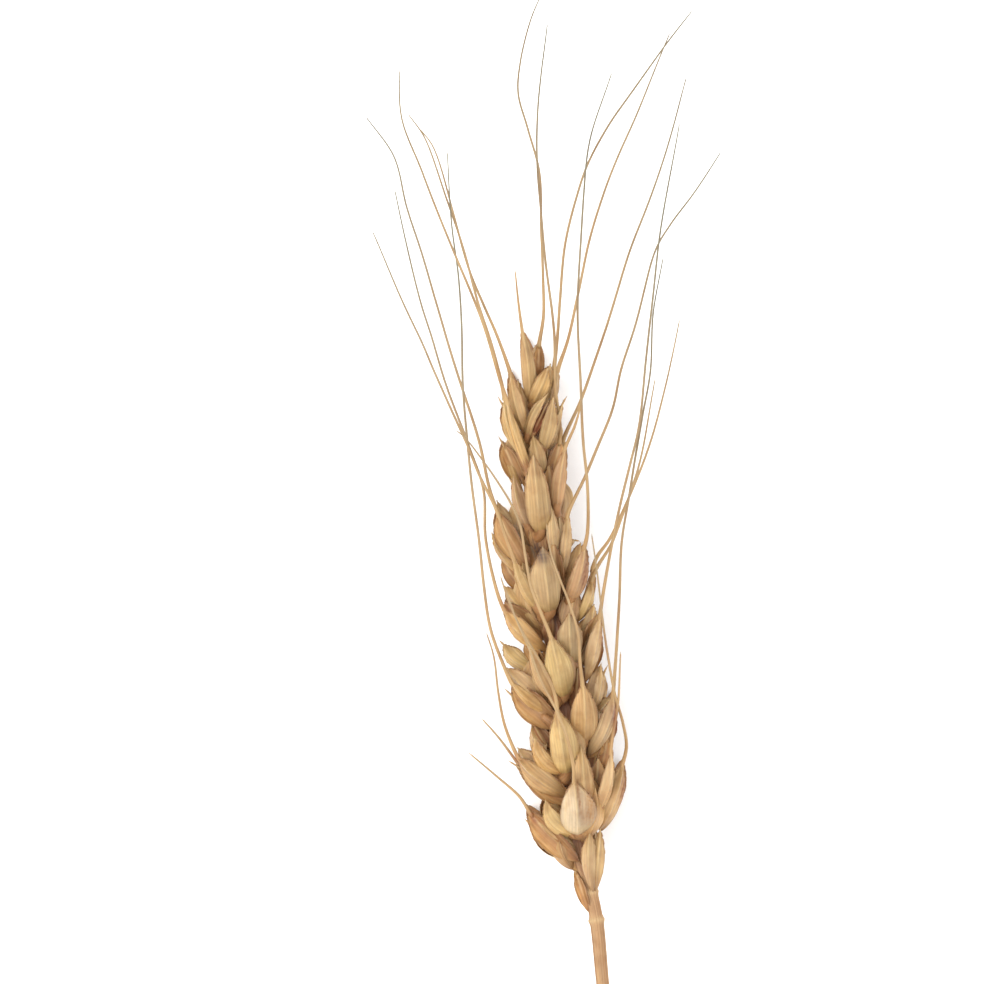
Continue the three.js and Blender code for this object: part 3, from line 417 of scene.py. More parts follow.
bractForm = {
    "bow": 0.15,         # how far the middle stands out, as a share of the length
    "bellyDepth": 0.34,  # outer side at the widest place, as a share of the width
    "innerDepth": 0.2,   # inner side
    "footRoundness": (0.7, 0.5),     # of a bract in the row, and of one on the near side
    "nearHeight": 9.8,   # mm, height of the feet of the near ones
    "tipSharpness": (1.1, 1.3),      # of a plain bract, and of one with an awn
    "keelShare": (0.35, 0.95),       # how much of the outer side is a keel, at the foot and the tip
    "hollow": 0.13,      # how far the flanks sink beside the keel near the tip, likewise
    "nerve": (0.05, 0.16),           # mm, rise of the middle nerve at the foot and at the tip
    "nerveWidth": 0.2,   # mm
    "dish": 0.3,         # how deep the open bracts are hollowed, as a share of the width
    "wrap": 98,          # degrees from the keel round to each margin
    "wall": 0.14,        # mm
    "veinPitch": 0.52,   # mm between veins
    "veinRise": 0.03,    # mm
    "shoulder": 0.07,    # mm, rise of the two side nerves
    "shoulderPlace": 0.48,           # where they run, as a share of the way to the margin
    "uneven": 0.3,       # how much wider one half may be than the other
    "dent": 0.06,        # mm, soft unevenness
    "rowStep": 0.26,     # mm between rows of the grid
    "columnStep": 0.15,  # mm between its columns
}

bractPaint = {
    "spread": 0.16,      # how much one bract differs from the next
    "flankShade": 0.26,       # painted shade: how much darker the flank away from the light, mostly the one towards the rachis, is than the outer, lit one
    "sides": ((214, 168, 104), (150, 102, 62)),  # sRGB of the two sides of an open bract: painted light on the side towards the light, painted brown shade on the other
    "ends": 0.3,         # how much of the length has the colour of the foot, or of the tip
    "vein": 0.07,        # how much lighter a vein is
    "cloud": 0.07,       # how much soft clouds lighten or darken it
    "keel": ((244, 214, 160), 0.55),    # sRGB and strength of the painted highlight down the keel, laid fainter along the side nerves too
    "margin": ((242, 214, 164), 0.8),   # of the thin papery margin, paler of itself and with a painted highlight
    "crease": ((128, 80, 44), 0.6),     # of the painted brown shade inside the margin and at the foot
    "inside": (164, 116, 72),           # sRGB of the inner face, painted shade for the hollow inside each husk
}


def middleLine(bract, t):
    # one bowed and bent line: (1-t)^2 foot + 2t(1-t) middle + t^2 tip, with its direction, its keel
    # and its side
    foot, tip = np.array(bract[0], float), np.array(bract[1], float)
    turn = math.radians(bract[3])
    out = np.array([math.cos(turn), 0, math.sin(turn)])
    length = np.linalg.norm(tip - foot)
    flat = unit(np.array([foot[1] - tip[1], tip[0] - foot[0], 0]))
    middle = (foot + tip) / 2 + 2 * length * (bractForm["bow"] * out + bract[4] * flat)
    t = t[:, None]
    centre = (1 - t) ** 2 * foot + 2 * t * (1 - t) * middle + t ** 2 * tip
    ahead = unit(2 * (1 - t) * (middle - foot) + 2 * t * (tip - middle))
    keel = unit(out - ahead * (ahead @ out)[:, None])
    return centre, ahead, keel, np.cross(keel, ahead)


def lengthOf(bract):
    # from foot to tip, and a tenth more for the bow
    return np.linalg.norm(np.subtract(bract[1], bract[0])) * 1.1


def widthAt(t, bract):
    # t^a (1-t^2)^b over its own peak, at the root of a/(a+2b): a round foot and a sharp tip
    a = bractForm["footRoundness"][int(bract[0][2] >= bractForm["nearHeight"])]
    b = bractForm["tipSharpness"][int(bool(bract[7]))]
    peak = math.sqrt(a / (a + 2 * b))
    return t ** a * (1 - t ** 2) ** b / (peak ** a * (1 - peak ** 2) ** b)


def blend(colour, other, share):
    return colour * (1 - share) + linear(other) * share


def bractTint(bract, t, v, arc, seed):
    # the back's colour, into the foot's and the tip's near the ends; then painted shade on the flank away
    # from the light, painted light and shade on the two sides of an open bract, light veins at the ridges,
    # painted brown shade near the margins and at the foot, a painted highlight down the keel, and a margin
    # that is paler of itself and has a painted highlight
    tone = bract[5]
    # the outer flank, or the left one of an upright bract, is taken to face the light
    outer = 1 if bract[1][0] < bract[0][0] + 0.4 else -1
    paint, p = bractPaint, draw(seed, 5)
    back, foot, tip = (linear(c) for c in tones[tone])
    t, v, arc = t[..., None], v[..., None], arc[..., None]
    low = np.clip(1 - t / paint["ends"], 0, 1) ** 1.2
    high = np.clip(1 - (1 - t) / paint["ends"], 0, 1) ** 1.2
    colour = back * (1 - low) * (1 - high) + foot * low + tip * high
    lighter, warmer = paint["spread"] * (p[:2] - 0.5)
    colour = colour * (1 + lighter) * (1 + np.array([0.5, 0, -0.5]) * warmer)
    # painted shade on the flank away from the light, painted light on the lit one
    colour = colour * (1 + paint["flankShade"] * 0.5 * np.clip(v * outer * 2.5, -1, 1))
    # an open bract gets painted light and shade: golden on the side towards the light, brown on the side
    # away from it
    if tone == "rust":
        for sign, side in zip((1, -1), paint["sides"]):
            colour = blend(colour, side, 0.75 * np.clip(v * outer * sign * 1.8 - 0.2, 0, 1))
    fade = np.clip(t * 3, 0, 1) * np.clip((1 - t) * 4, 0, 1)
    colour = colour * (1 + paint["vein"] * fade * np.cos(2 * math.pi * arc / bractForm["veinPitch"]))
    cloud = np.sin(5 * t + 3 * v + 9 * p[2]) * np.sin(9 * t - 2.3 * v + 9 * p[3])
    colour = colour * (1 + paint["cloud"] * cloud)
    # painted brown shade in the creases inside the margins and at the foot
    brown, strength = paint["crease"]
    near = np.exp(-((np.abs(v) - 0.82) / 0.1) ** 2) * 0.7 + np.clip(1 - t / 0.16, 0, 1) * 0.9
    colour = blend(colour, brown, np.clip(near, 0, 1) * strength)
    # a painted highlight down the keel, and a fainter one along the two side nerves
    light, strength = paint["keel"]
    colour = blend(colour, light, strength * np.exp(-(arc / 0.16) ** 2) * np.clip(t * 2 - 0.3, 0, 1))
    shoulder = np.exp(-((np.abs(v) - bractForm["shoulderPlace"]) / 0.06) ** 2)
    colour = blend(colour, light, 0.5 * strength * fade * shoulder)
    # the papery margin is paler of itself and also carries a painted highlight
    light, strength = paint["margin"]
    margin = np.clip((np.abs(v) - 0.88) / 0.08, 0, 1) ** 2
    return blend(colour, light, strength * margin * (0.5 + 0.5 * p[4]))


def addMarks(points, tints):
    # each mark fades as exp(-(along/length)^4 - (across/width)^2), broken up by crossed waves
    for (x, y), turn, length, width, colour, strength in marks:
        turn = math.radians(turn)
        dx, dy = points[..., 0] - x, points[..., 1] - y
        along = dx * math.cos(turn) + dy * math.sin(turn)
        across = dy * math.cos(turn) - dx * math.sin(turn)
        broken = 0.7 + 0.3 * np.sin(7 * along + 5 * across) * np.sin(9 * across - 4 * along)
        share = strength * broken * np.exp(-(along / length) ** 4 - (across / width) ** 2)
        tints = blend(tints, colour, share[..., None])
    return tints


def addShell(skin, bract, seed, coarse):
    # the husk: across a row it is (half sin a) to the side and depth((1-k) cos a + k(1-|sin a|)) out,
    # for a from -wrap to wrap, with veins as cosine ridges, soft dents, and a wall set inwards
    form, width = bractForm, bract[2]
    length = lengthOf(bract)
    rows = max(10, int(length / form["rowStep"] / coarse))
    columns = max(11, int(width * 1.7 / form["columnStep"] / coarse)) | 1
    steps = 0.5 - 0.5 * np.cos(np.linspace(0.05, 0.98, rows) * math.pi)
    centre, ahead, keel, side = middleLine(bract, steps)
    size = (widthAt(steps, bract) * width)[:, None]
    t, v = steps[:, None], np.linspace(-1, 1, columns)[None, :]
    a = v * math.radians(form["wrap"])
    k = np.interp(t, [0.15, 1], form["keelShare"])
    rise = (1 - k) * np.cos(a) + k * (1 - np.abs(np.sin(a)))
    depth = np.where(rise > 0, form["bellyDepth"], form["innerDepth"]) * size * rise
    depth = depth - form["hollow"] * size * np.sin(2 * np.abs(a)).clip(0, 1) * t ** 1.5
    arc = v * size * 0.85
    nerve = np.interp(t, [0, 1], form["nerve"]) * np.clip(t * 3, 0, 1)
    nerve = nerve * np.exp(-(arc / form["nerveWidth"]) ** 2)
    depth = depth + nerve
    if bract[5] == "rust":
        dish = form["dish"] * (np.abs(np.sin(a)) ** 2.2 - 0.45) * size
        depth = dish * np.sin(math.pi * t) ** 0.7 - 0.6 * nerve
    fade = np.clip(t * 2.2, 0.15, 1) * np.clip((1 - t) * 6, 0, 1) * np.sin(np.abs(a) + 0.2)
    depth = depth + form["veinRise"] * fade * np.cos(2 * math.pi * arc / form["veinPitch"])
    p = draw(seed, 8)
    waves = np.sin(7 * t + 9 * p[0] + 2.5 * v) + np.sin(11 * t - 4 * v + 9 * p[1])
    depth = depth + form["dent"] * waves * np.sin(math.pi * t)
    shoulder = np.exp(-((np.abs(v) - form["shoulderPlace"]) / 0.07) ** 2)
    depth = depth + form["shoulder"] * fade * shoulder
    half = 1 + form["uneven"] * (p[5] - 0.5) * np.sign(v) * np.sin(math.pi * t)
    lift = 0.1 * np.clip(np.abs(v) - 0.75, 0, 1) * size * np.sin(6 * t + 9 * p[2])
    across = size / 2 * np.sin(a) * half * (1 + 0.04 * np.sin(9 * t + 9 * p[3]))
    across = across + np.sign(v) * lift
    points = centre[:, None] + across[..., None] * side[:, None] + depth[..., None] * keel[:, None]
    normal = unit(np.cross(np.gradient(points, axis=0), np.gradient(points, axis=1)))
    inner = points - normal * form["wall"] * (1 - 0.55 * v ** 4)[..., None]
    count = rows * columns
    outer = gridFaces(rows, columns)
    index = np.arange(count).reshape(rows, columns)
    rim = np.concatenate([index[:, 0], index[-1, 1:], index[-2::-1, -1], index[0, -2::-1]])
    edge = np.stack([rim[1:], rim[:-1], rim[:-1] + count, rim[1:] + count], -1)
    faces = np.concatenate([outer, outer[:, ::-1] + count, edge])
    runs = pairUp(arc + 20 * seed, t * length + 7 * p[4])
    tint = addMarks(points, bractTint(bract, t, v, arc, seed))
    # the inner face is darkened with painted shade
    inside = blend(tint, bractPaint["inside"], 0.7)
    points, runs, tints = (np.concatenate(pair) for pair in ((points, inner), (runs, runs), (tint, inside)))
    skin.add(points, faces, runs, tints)


bodyForm = {
    "share": 0.84,       # of the width of its husk
    "depths": (0.12, 0.62),          # outer and inner, as shares of the width
    "end": 0.8,          # where it ends along its husk
    "rows": 16,
    "columns": 20,
    "colour": (196, 152, 102),
}


def addBody(skin, bract, seed, coarse):
    # the closed body in the husk: half an ellipse outwards and half inwards across each row
    form = bodyForm
    rows, columns = int(form["rows"] / coarse), int(form["columns"] / coarse)
    t = 0.5 - 0.5 * np.cos(np.linspace(0.07, 1, rows) * math.acos(1 - 2 * form["end"]))
    centre, ahead, keel, side = middleLine(bract, t)
    a = around(columns)
    close = np.sqrt(np.clip(1 - (t / (form["end"] + 0.02)) ** 6, 0.02, 1))
    size = (widthAt(t, bract) * bract[2] * close)[:, None] * form["share"]
    depth = np.where(np.sin(a) > 0, *form["depths"]) * np.sin(a) * size
    across = size / 2 * np.cos(a)
    points = centre[:, None] + across[..., None] * side[:, None] + depth[..., None] * keel[:, None]
    ends = middleLine(bract, np.array([t[0] * 0.5, t[-1] + 0.01]))[0]
    first, last = (np.tile(end, (1, columns, 1)) for end in ends)
    points = np.concatenate([first, points, last])
    rows += 2
    along = np.linspace(0, lengthOf(bract), rows)[:, None]
    runs = pairUp(a * bract[2] / 3 + 20 * seed, along)
    tint = linear(form["colour"]) * (0.85 + 0.3 * draw(seed + 5)[0])
    if bract[5] == "grain":
        tint = linear(tones["grain"][0])
    skin.add(points, tubeFaces(rows, columns), runs, tint * np.ones((rows, columns, 3)))


threadForm = {
    "roots": (0.82, 0.93),   # where a thread is rooted in its keel
    "beakLength": 8,         # mm, shorter threads are beaks
    "awnRadius": 0.22,       # mm, where it leaves its husk
    "beakRadius": 0.15,
    "swell": 0.14,           # mm, how much thicker an awn is just at its husk
    "tipRadius": 0.07,
    "thinning": 0.6,         # power of the way left that its radius follows
    "step": 0.55,            # mm between rings
    "sides": 7,
    "waver": 0.05,           # mm, how unsteady the line is
    "barbStep": 0.8,         # mm between barbs
    "barbLength": 0.16,
    "colours": ((208, 170, 118), (182, 156, 119), (138, 132, 112)),  # golden at its husk, then grey
    "fadeLength": 58,        # mm over which it turns grey
}


def smoothPath(points, step):
    # a centripetal Catmull-Rom line through the points, then even steps along it
    p = np.array(points, float)
    p = np.concatenate([[2 * p[0] - p[1]], p, [2 * p[-1] - p[-2]]])
    fine = []
    for a, b, c, d in zip(p[:-3], p[1:-2], p[2:-1], p[3:]):
        g0, g1, g2 = (max(np.linalg.norm(q - r) ** 0.5, 1e-4) for q, r in ((b, a), (c, b), (d, c)))
        m1 = g1 * ((b - a) / g0 - (c - a) / (g0 + g1)) + (c - b)
        m2 = g1 * ((d - c) / g2 - (d - b) / (g1 + g2)) + (c - b)
        s = np.linspace(0, 1, 24, endpoint=False)[:, None]
        fine.append((2 * s ** 3 - 3 * s ** 2 + 1) * b + (s ** 3 - 2 * s ** 2 + s) * m1
                    + (3 * s ** 2 - 2 * s ** 3) * c + (s ** 3 - s ** 2) * m2)
    fine = np.concatenate([*fine, [p[-2]]])
    far = np.concatenate([[0], np.cumsum(np.linalg.norm(np.diff(fine, axis=0), axis=1))])
    even = np.linspace(0, far[-1], max(4, int(far[-1] / step)))
    return np.stack([np.interp(even, far, fine[:, axis]) for axis in range(3)], -1), even


def addThread(skin, bract, seed):
    # a tube round a wavering line, thinning as a power of 1-s to its tip, swollen as exp(-far) at its
    # husk, with small barbs that point ahead
    form = threadForm
    roots = middleLine(bract, np.array(form["roots"]))[0]
    path, far = smoothPath([*roots, *bract[7]], form["step"])
    s = far / far[-1]
    p = draw(seed, 6) * 6.3
    sway = np.stack([np.sin(far / 3.1 + p[0]) + np.sin(far / 7.7 + p[1]), np.zeros(len(s)),
                     np.sin(far / 3.7 + p[2]) + np.sin(far / 6.1 + p[3])], -1)
    path = path + form["waver"] * sway * np.clip(s * 3, 0, 1)[:, None] * min(1, far[-1] / 30)
    root = form["awnRadius"] if far[-1] > form["beakLength"] else form["beakRadius"]
    radius = form["tipRadius"] + (root - form["tipRadius"]) * (1 - s) ** form["thinning"]
    radius = radius + form["swell"] * np.exp(-far / 2.5) * min(1, far[-1] / 20)
    ahead, across, up = frameAlong(path)
    a = around(form["sides"])[..., None]
    points = tube(path, across, up, a, radius[:, None, None] * (1 + 0.12 * np.cos(3 * a)))
    points[0], points[-1] = path[0], path[-1]
    rows, columns = len(s), form["sides"]
    runs = pairUp(a[..., 0] * 0.3 + 3 * seed, far[:, None])
    base, middle, end = (linear(c) for c in form["colours"])
    w = np.clip(far / form["fadeLength"], 0, 1)[:, None, None]
    colour = np.where(w < 0.5, base + (middle - base) * w * 2, middle + (end - middle) * (w * 2 - 1))
    colour = colour * (0.9 + 0.2 * draw(seed + 3)[0]) * np.ones((rows, columns, 3))
    skin.add(points, tubeFaces(rows, columns), runs, addMarks(points, colour))
    if far[-1] > form["beakLength"]:
        addBarbs(skin, path, ahead, across, up, radius, far, colour[:, 0], seed)


def addBarbs(skin, path, ahead, across, up, radius, far, colour, seed):
    # each barb is a three-sided tooth from the skin of the awn, leaning ahead at about 30 degrees
    form = threadForm
    place = np.arange(2.0, far[-1] - 1, form["barbStep"])
    turn = np.modf(np.abs(np.sin(np.arange(len(place)) * 12.9898 + seed) * 43758.5453))[0]
    turn = turn[:, None] * 6.2832

    def at(rows):
        return np.stack([np.interp(place, far, rows[:, axis]) for axis in range(3)], -1)

    centre, forward, sideways, over = at(path), unit(at(ahead)), unit(at(across)), unit(at(up))
    r = np.interp(place, far, radius)[:, None]
    out = np.cos(turn) * sideways + np.sin(turn) * over
    tangent = np.cross(forward, out)
    length = form["barbLength"] * (0.6 + 0.4 * r / form["awnRadius"])
    root = centre + out * r * 0.8
    wide = 0.22 * length
    corners = np.stack([root - forward * length * 0.3, root + tangent * wide, root - tangent * wide,
                        root + forward * length + out * length * 0.42], 1)
    pattern = np.array([[0, 1, 2], [0, 3, 1], [1, 3, 2], [2, 3, 0]])
    faces = (np.arange(len(place))[:, None, None] * 4 + pattern[None]).reshape(-1, 3)
    runs = np.zeros((len(place), 4, 2)) + place[:, None, None]
    tints = np.repeat(at(colour)[:, None], 4, 1) * 1.1
    skin.add(corners, faces, runs, tints)


twinForm = {
    "ahead": 0.3,        # mm, how far it stands ahead of the bract above it
    "flat": 0.35,        # share of its height that its tip keeps
    "drop": 0.9,         # mm, how much lower the tip is than that
    "coarse": 1.7,       # how much wider apart its rows and columns are
}


def twin(bract):
    # the same bract on the underside, closed and with its tip pressed towards the table
    foot, tip, width, face, bend, tone = bract[:6]
    low = (foot[0], foot[1] + twinForm["ahead"], 2 * axisHeight - foot[2])
    height = (2 * axisHeight - tip[2]) * twinForm["flat"] - twinForm["drop"]
    end = (tip[0], tip[1] + twinForm["ahead"], height)
    return (low, end, width, -face, bend, "straw" if tone == "rust" else tone, False, [])


strawForm = {
    "path": [(9.6, -74.4), (8.4, -64), (7.5, -54.8), (6.7, -50.9), (5.6, -47.2), (4.8, -43.3), (4.3, -38),
             (3.2, -28.2), (2.1, -17), (0.8, -7.2), (-0.4, 2.6), (-1.4, 12.4), (-1.8, 20.5)],
    "collars": (-54.8, -50.9),
    "radius": 0.95,          # mm just under the ear
    "footRadius": 0.8,
    "rachisRadius": 0.9,
    "rachisTip": 0.45,
    "rachisWidth": 1.45,     # how much wider the rachis is, and how much less thick
    "rachisThickness": 0.82,
    "knotRise": 0.3,         # how much thicker it is where a spikelet stands
    "knotLength": 1.1,
    "collarRise": 0.2,
    "collarLength": 0.42,
    "ribs": 17,
    "ribRise": 0.045,
    "hollow": 0.42,          # radius of the hollow in the cut end
    "hollowDepth": 1.4,
    "step": 0.35,            # mm between rings
    "columns": 84,
    "light": (206, 164, 118),        # sRGB of the ribs and of the grooves between them
    "dark": (156, 110, 70),
    "collar": (232, 200, 150),
    "rachis": (162, 112, 80),
    "pith": (150, 106, 66),
}


def strawRadius(y):
    # straight taper below the lower collar, another above it, and a bell round each collar
    form = strawForm
    low, high = form["collars"]
    straw = np.interp(y, [form["path"][0][1], low], [form["footRadius"], form["radius"]])
    rachis = np.interp(y, [high, form["path"][-1][1]], [form["rachisRadius"], form["rachisTip"]])
    bell = sum(np.exp(-((y - place) / form["collarLength"]) ** 2) for place in form["collars"])
    return np.where(y < low, straw, rachis) + form["collarRise"] * bell


def makeStraw(material):
    # rings along the path, r(1 + ribs), then over the cut edge and down into the hollow
    form = strawForm
    path, far = smoothPath([(x, y, axisHeight) for x, y in form["path"]], form["step"])
    ahead, across, up = frameAlong(path)
    columns, height = form["columns"], path[:, 1:2]
    a = around(columns)
    ribs = np.cos(form["ribs"] * a + 0.6 * np.sin(2 * a)) + 0.5 * np.cos(5 * a + 1)
    places = np.array([spikelet["place"] for spikelet in spikelets], float)
    knots = np.exp(-((height - places) / form["knotLength"]) ** 2).max(1)[:, None] * (height > -46)
    r = strawRadius(height) * (1 + form["ribRise"] * ribs) * (1 + form["knotRise"] * knots)
    flat = np.where(height > form["collars"][0], form["rachisThickness"], 1)
    wide = np.interp(height, [-49, -44], [1, form["rachisWidth"]])

    def ring(centre, x, z, aside, above):
        return centre[:, None] + x[..., None] * aside[:, None] + z[..., None] * above[:, None]

    body = ring(path, r * np.cos(a) * wide, r * np.sin(a) * flat, across, up)
    inner, deep, edge = form["hollow"], form["hollowDepth"], form["footRadius"]
    profile = [(0.0, deep), (inner * 0.9, deep), (inner, deep * 0.5), (inner, 0.12), (inner + 0.06, 0),
               (edge - 0.05, 0), (edge, 0.05)]
    cut = []
    for size, depth in profile:
        x = size * (1 + form["ribRise"] * ribs * (size == edge)) * np.cos(a)
        cut.append(ring(path[:1] + ahead[:1] * depth, x, size * np.sin(a), across[:1], up[:1]))
    points = np.concatenate([*cut, body[1:], np.repeat(path[-1:, None], columns, 1)])
    rows = len(points)
    along = np.concatenate([np.linspace(-2, -0.1, len(profile)), far[1:], [far[-1] + 0.3]])
    runs = pairUp(a * 0.95, along[:, None])
    y = np.concatenate([np.full(len(profile), path[0, 1]), path[1:, 1], path[-1:, 1]])
    y = y[:, None, None]
    light, dark = linear(form["light"]), linear(form["dark"])
    stripe = 0.5 + 0.5 * np.cos(5 * a + 2.2 * np.sin(a * 2))[..., None]
    colour = dark + (light - dark) * (0.35 + 0.65 * stripe)
    collar = sum(np.exp(-((y - place) / 0.4) ** 2) for place in form["collars"])
    colour = blend(colour, form["collar"], 0.6 * collar)
    colour = blend(colour, form["rachis"], np.clip((y + 49) / 6, 0, 1))
    colour[:4] = linear(form["pith"])
    skin = Skin()
    skin.add(points, tubeFaces(rows, columns), runs, colour * np.ones((rows, columns, 1)))
    return skin.make("straw", "straw_and_rachis", "straw", material, sharp=60)


huskLook = {
    "streakAcross": 4.0,     # how fine the streaks are across and along the husk
    "streakAlong": 0.25,
    "streakDepth": 0.18,
    "blotchScale": 420,
    "blotchDepth": 0.5,
    "blotch": (236, 196, 158),
    "fleckScale": 900,
    "fleckDepth": 0.2,
    "fleck": (140, 92, 56),
    "roughness": (0.42, 0.66),
    "bump": 0.25,
    "bumpDistance": 0.00006,         # metres
    "subsurface": 0.12,
    "subsurfaceScale": 0.0006,
}


def makeHusk(name, look):
    # the tint of each piece, streaked along its length, blotched and flecked, with a fine grain
    material = bpy.data.materials.new(name)
    material.use_nodes = True
    tree = material.node_tree
    link, shader = tree.links.new, tree.nodes["Principled BSDF"]

    def add(kind, inputs=None, links=None, **values):
        node = tree.nodes.new(kind)
        for key, value in values.items():
            setattr(node, key, value)
        for key, value in (inputs or {}).items():
            node.inputs[key].default_value = value
        for key, value in (links or {}).items():
            link(value, node.inputs[key])
        return node

    def noise(scale, detail, place):
        node = add("ShaderNodeTexNoise", {"Scale": scale, "Detail": detail}, {"Vector": place})
        return node.outputs["Fac"]

    def spread(value, low, high, start, end):
        limits = {"From Min": low, "From Max": high, "To Min": start, "To Max": end}
        return add("ShaderNodeMapRange", limits, {"Value": value}).outputs["Result"]

    def mix(share, under, over, how):
        node = add("ShaderNodeMix", {"B": (*linear(over), 1)}, {"Factor": share, "A": under},
                   data_type="RGBA", blend_type=how)
        return node.outputs["Result"]

    tint = add("ShaderNodeAttribute", attribute_name="tint").outputs["Color"]
    run = add("ShaderNodeUVMap", uv_map="run").outputs["UV"]
    place = add("ShaderNodeTexCoord").outputs["Object"]
    scale = (look["streakAcross"], look["streakAlong"], 1)
    stretched = add("ShaderNodeMapping", {"Scale": scale}, {"Vector": run}).outputs["Vector"]
    streak = noise(1, 4, stretched)
    shade = spread(streak, 0.3, 0.7, 1 - look["streakDepth"], 1 + look["streakDepth"] * 0.6)
    shaded = add("ShaderNodeVectorMath", None, {0: tint, "Scale": shade}, operation="SCALE")
    blotch = spread(noise(look["blotchScale"], 3, place), 0.45, 0.75, 0, look["blotchDepth"])
    fleck = spread(noise(look["fleckScale"], 2, place), 0.66, 0.76, 0, look["fleckDepth"])
    blotched = mix(blotch, shaded.outputs["Vector"], look["blotch"], "MULTIPLY")
    link(mix(fleck, blotched, look["fleck"], "MIX"), shader.inputs["Base Color"])
    link(spread(streak, 0, 1, *look["roughness"]), shader.inputs["Roughness"])
    relief = {"Strength": look["bump"], "Distance": look["bumpDistance"]}
    bump = add("ShaderNodeBump", relief, {"Height": streak})
    link(bump.outputs["Normal"], shader.inputs["Normal"])
    shader.inputs["Subsurface Weight"].default_value = look["subsurface"]
    shader.inputs["Subsurface Radius"].default_value = (1, 0.6, 0.3)
    shader.inputs["Subsurface Scale"].default_value = look["subsurfaceScale"]
    shader.inputs["IOR"].default_value = 1.45
    return material


awnLook = {"streakAcross": 3, "blotchScale": 160, "subsurface": 0.05, "bump": 0.15}
strawLook = {"streakAcross": 7, "streakAlong": 0.2, "subsurface": 0.05}
husk = makeHusk("dry husk", huskLook)
awnHusk = makeHusk("awn", {**huskLook, **awnLook})
strawSkin = makeHusk("ribbed straw", {**huskLook, **strawLook})
print("materials ready")

makeStraw(strawSkin)
print("straw and rachis ready")


heartForm = {             # mm, for a spikelet of size 1
    "foot": 1.5,         # how far its foot is from the middle of the rachis, at any size
    "lean": 2,           # how much further out its tip is
    "drop": 0.6,         # how far its foot is below its place on the rachis
    "rise": 9,           # how far its tip is above it
    "width": 5.2,
}


def heartOf(spikelet):
    # the lowest husk, flat against the side of the rachis, that the others stand out of
    form, size, place = heartForm, spikelet["size"], spikelet["place"]
    x, y = np.array(strawForm["path"]).T
    turn = math.radians(spikelet["side"])
    middle = np.array([np.interp(place, y, x), place, axisHeight])
    out = np.array([math.cos(turn), 0, math.sin(turn)])
    up = np.array([0, 1.0, 0])
    foot = middle + out * form["foot"] - up * form["drop"] * size
    tip = middle + out * (form["foot"] + form["lean"] * size) + up * form["rise"] * size
    return (foot, tip, form["width"] * size, spikelet["side"], 0, "straw", False, [])


stalkForm = {
    "radii": (1.0, 0.8, 0.45),       # mm, at the heart, at the foot of the bract and in it
    "smallest": 0.55,    # share of them in the smallest spikelet
    "ends": (0.02, 0.14, 0.3),       # where it runs along its bract
    "start": 1,          # mm above the place on the rachis
    "clear": 1.8,        # mm, bracts whose foot is this far above or below the rachis have one
    "step": 0.5,         # mm between rings
    "sides": 10,
    "colour": (190, 140, 92),
}


def addStalk(skin, spikelet, bract, seed):
    # a short tube from the midst of the heart that bends over into the foot of its bract, round
    # in section, with its radius read off along its length
    form, heart = stalkForm, heartOf(spikelet)
    start = (heart[0] + heart[1]) / 2
    start[1] = spikelet["place"] + form["start"]
    path, far = smoothPath([start, *middleLine(bract, np.array(form["ends"]))[0]], form["step"])
    size = form["smallest"] + (1 - form["smallest"]) * spikelet["size"]
    radius = np.interp(far / far[-1], [0, 0.6, 1], form["radii"]) * size
    radius[[0, -1]] = 0
    ahead, across, up = frameAlong(path, (0.3, 0, 1.0))
    a = around(form["sides"])[..., None]
    points = tube(path, across, up, a, radius[:, None, None])
    rows, columns = len(far), form["sides"]
    runs = pairUp(a[..., 0] + 5 * seed, far[:, None])
    tint = linear(form["colour"]) * np.ones((rows, columns, 3))
    skin.add(points, tubeFaces(rows, columns), runs, tint)


for number, spikelet in enumerate(spikelets):
    chaff, awns = Skin(), Skin()
    bracts = [bract if len(bract) > 6 else (*bract, False, []) for bract in spikelet["bracts"]]
    under = [twin(bract) for bract in bracts if bract[6]]
    for place, bract in enumerate([*bracts, *under]):
        seed = number * 17 + place
        coarse = 1 if place < len(bracts) else twinForm["coarse"]
        addShell(chaff, bract, seed, coarse)
        if bract[5] not in ("rust", "brown"):
            addBody(chaff, bract, seed, coarse)
        if spikelet["size"] > 0 and abs(bract[0][2] - axisHeight) > stalkForm["clear"]:
            addStalk(chaff, spikelet, bract, seed)
        if bract[7]:
            addThread(awns, bract, seed)
    if spikelet["size"] > 0:
        addShell(chaff, heartOf(spikelet), number, 1)
        addBody(chaff, heartOf(spikelet), number, 1)
    label = spikelet["node"][-2:]
    chaff.make("husks_" + label, spikelet["node"], "chaff", husk)
    if awns.points:
        awns.make("awns_" + label, spikelet["node"], "chaff", awnHusk, sharp=70)
print("spikelets ready")

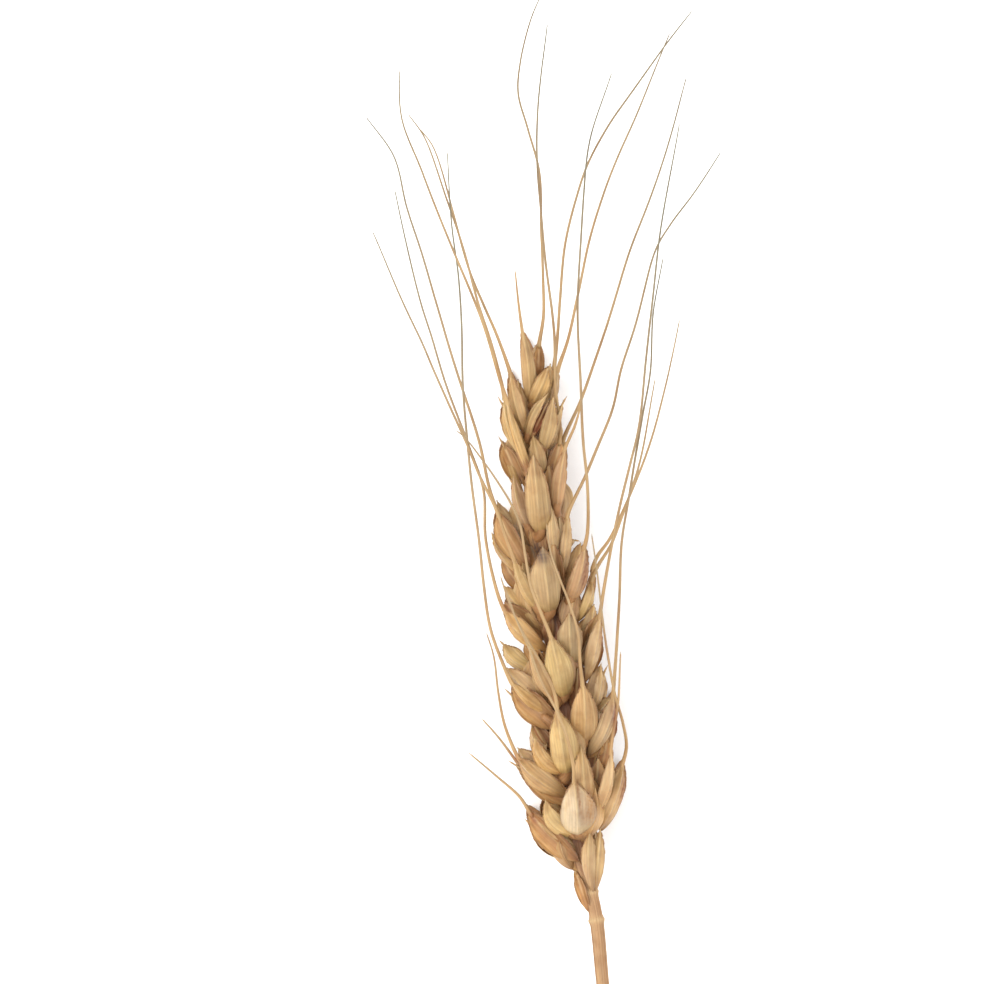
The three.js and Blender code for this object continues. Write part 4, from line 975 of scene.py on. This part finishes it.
stageLook = {
    "floorSize": 3.0,        # metres
    "floorColour": (0.97, 0.97, 0.97, 1),
    "floorRoughness": 0.8,
    "skyStrength": 0.8,
    "lights": {"key": ((-0.55, 0.1, 1.0), 8), "fill": ((0.6, -0.2, 1.0), 3.5)},  # place and power
    "lightSize": 1.0,
    "exposure": 0.52,
}


def makeStage():
    # a pale floor under the ear, an even white sky and two large soft lights
    size = stageLook["floorSize"] / 2
    corners = [(-size, -size, 0), (size, -size, 0), (size, size, 0), (-size, size, 0)]
    mesh = bpy.data.meshes.new("floor")
    mesh.from_pydata(corners, [], [(0, 1, 2, 3)])
    floor = inScene("floor", mesh)
    paint = bpy.data.materials.new("pale floor")
    paint.use_nodes = True
    shader = paint.node_tree.nodes["Principled BSDF"]
    shader.inputs["Base Color"].default_value = stageLook["floorColour"]
    shader.inputs["Roughness"].default_value = stageLook["floorRoughness"]
    mesh.materials.append(paint)
    world = bpy.data.worlds.new("white studio")
    world.use_nodes = True
    sky = world.node_tree.nodes["Background"]
    sky.inputs["Color"].default_value = (1, 1, 1, 1)
    sky.inputs["Strength"].default_value = stageLook["skyStrength"]
    bpy.context.scene.world = world
    for name, (place, power) in stageLook["lights"].items():
        light = bpy.data.lights.new(name, "AREA")
        light.size = stageLook["lightSize"]
        light.energy = power
        lamp = inScene(name, light)
        lamp.location = place
        lamp.rotation_euler = (-lamp.location).to_track_quat("-Z", "Y").to_euler()
    view = bpy.context.scene.view_settings
    view.view_transform = "Standard"
    view.exposure = stageLook["exposure"]


cameraForm = {
    "aim": (-7.14, 5.11),    # mm, where the middle of the picture falls
    "distance": 1600,        # mm above the middle of the ear
    "width": 137.76,         # mm that the picture spans there
    "sensor": 36,
}


def makeCamera():
    # straight down: the lens is sensor x distance / width
    form = cameraForm
    camera = bpy.data.cameras.new("camera")
    camera.sensor_width = form["sensor"]
    camera.lens = form["sensor"] * form["distance"] / form["width"]
    eye = inScene("camera", camera)
    eye.location = (form["aim"][0] * mm, form["aim"][1] * mm, (axisHeight + form["distance"]) * mm)
    bpy.context.scene.camera = eye


makeStage()
makeCamera()
print("stage ready")
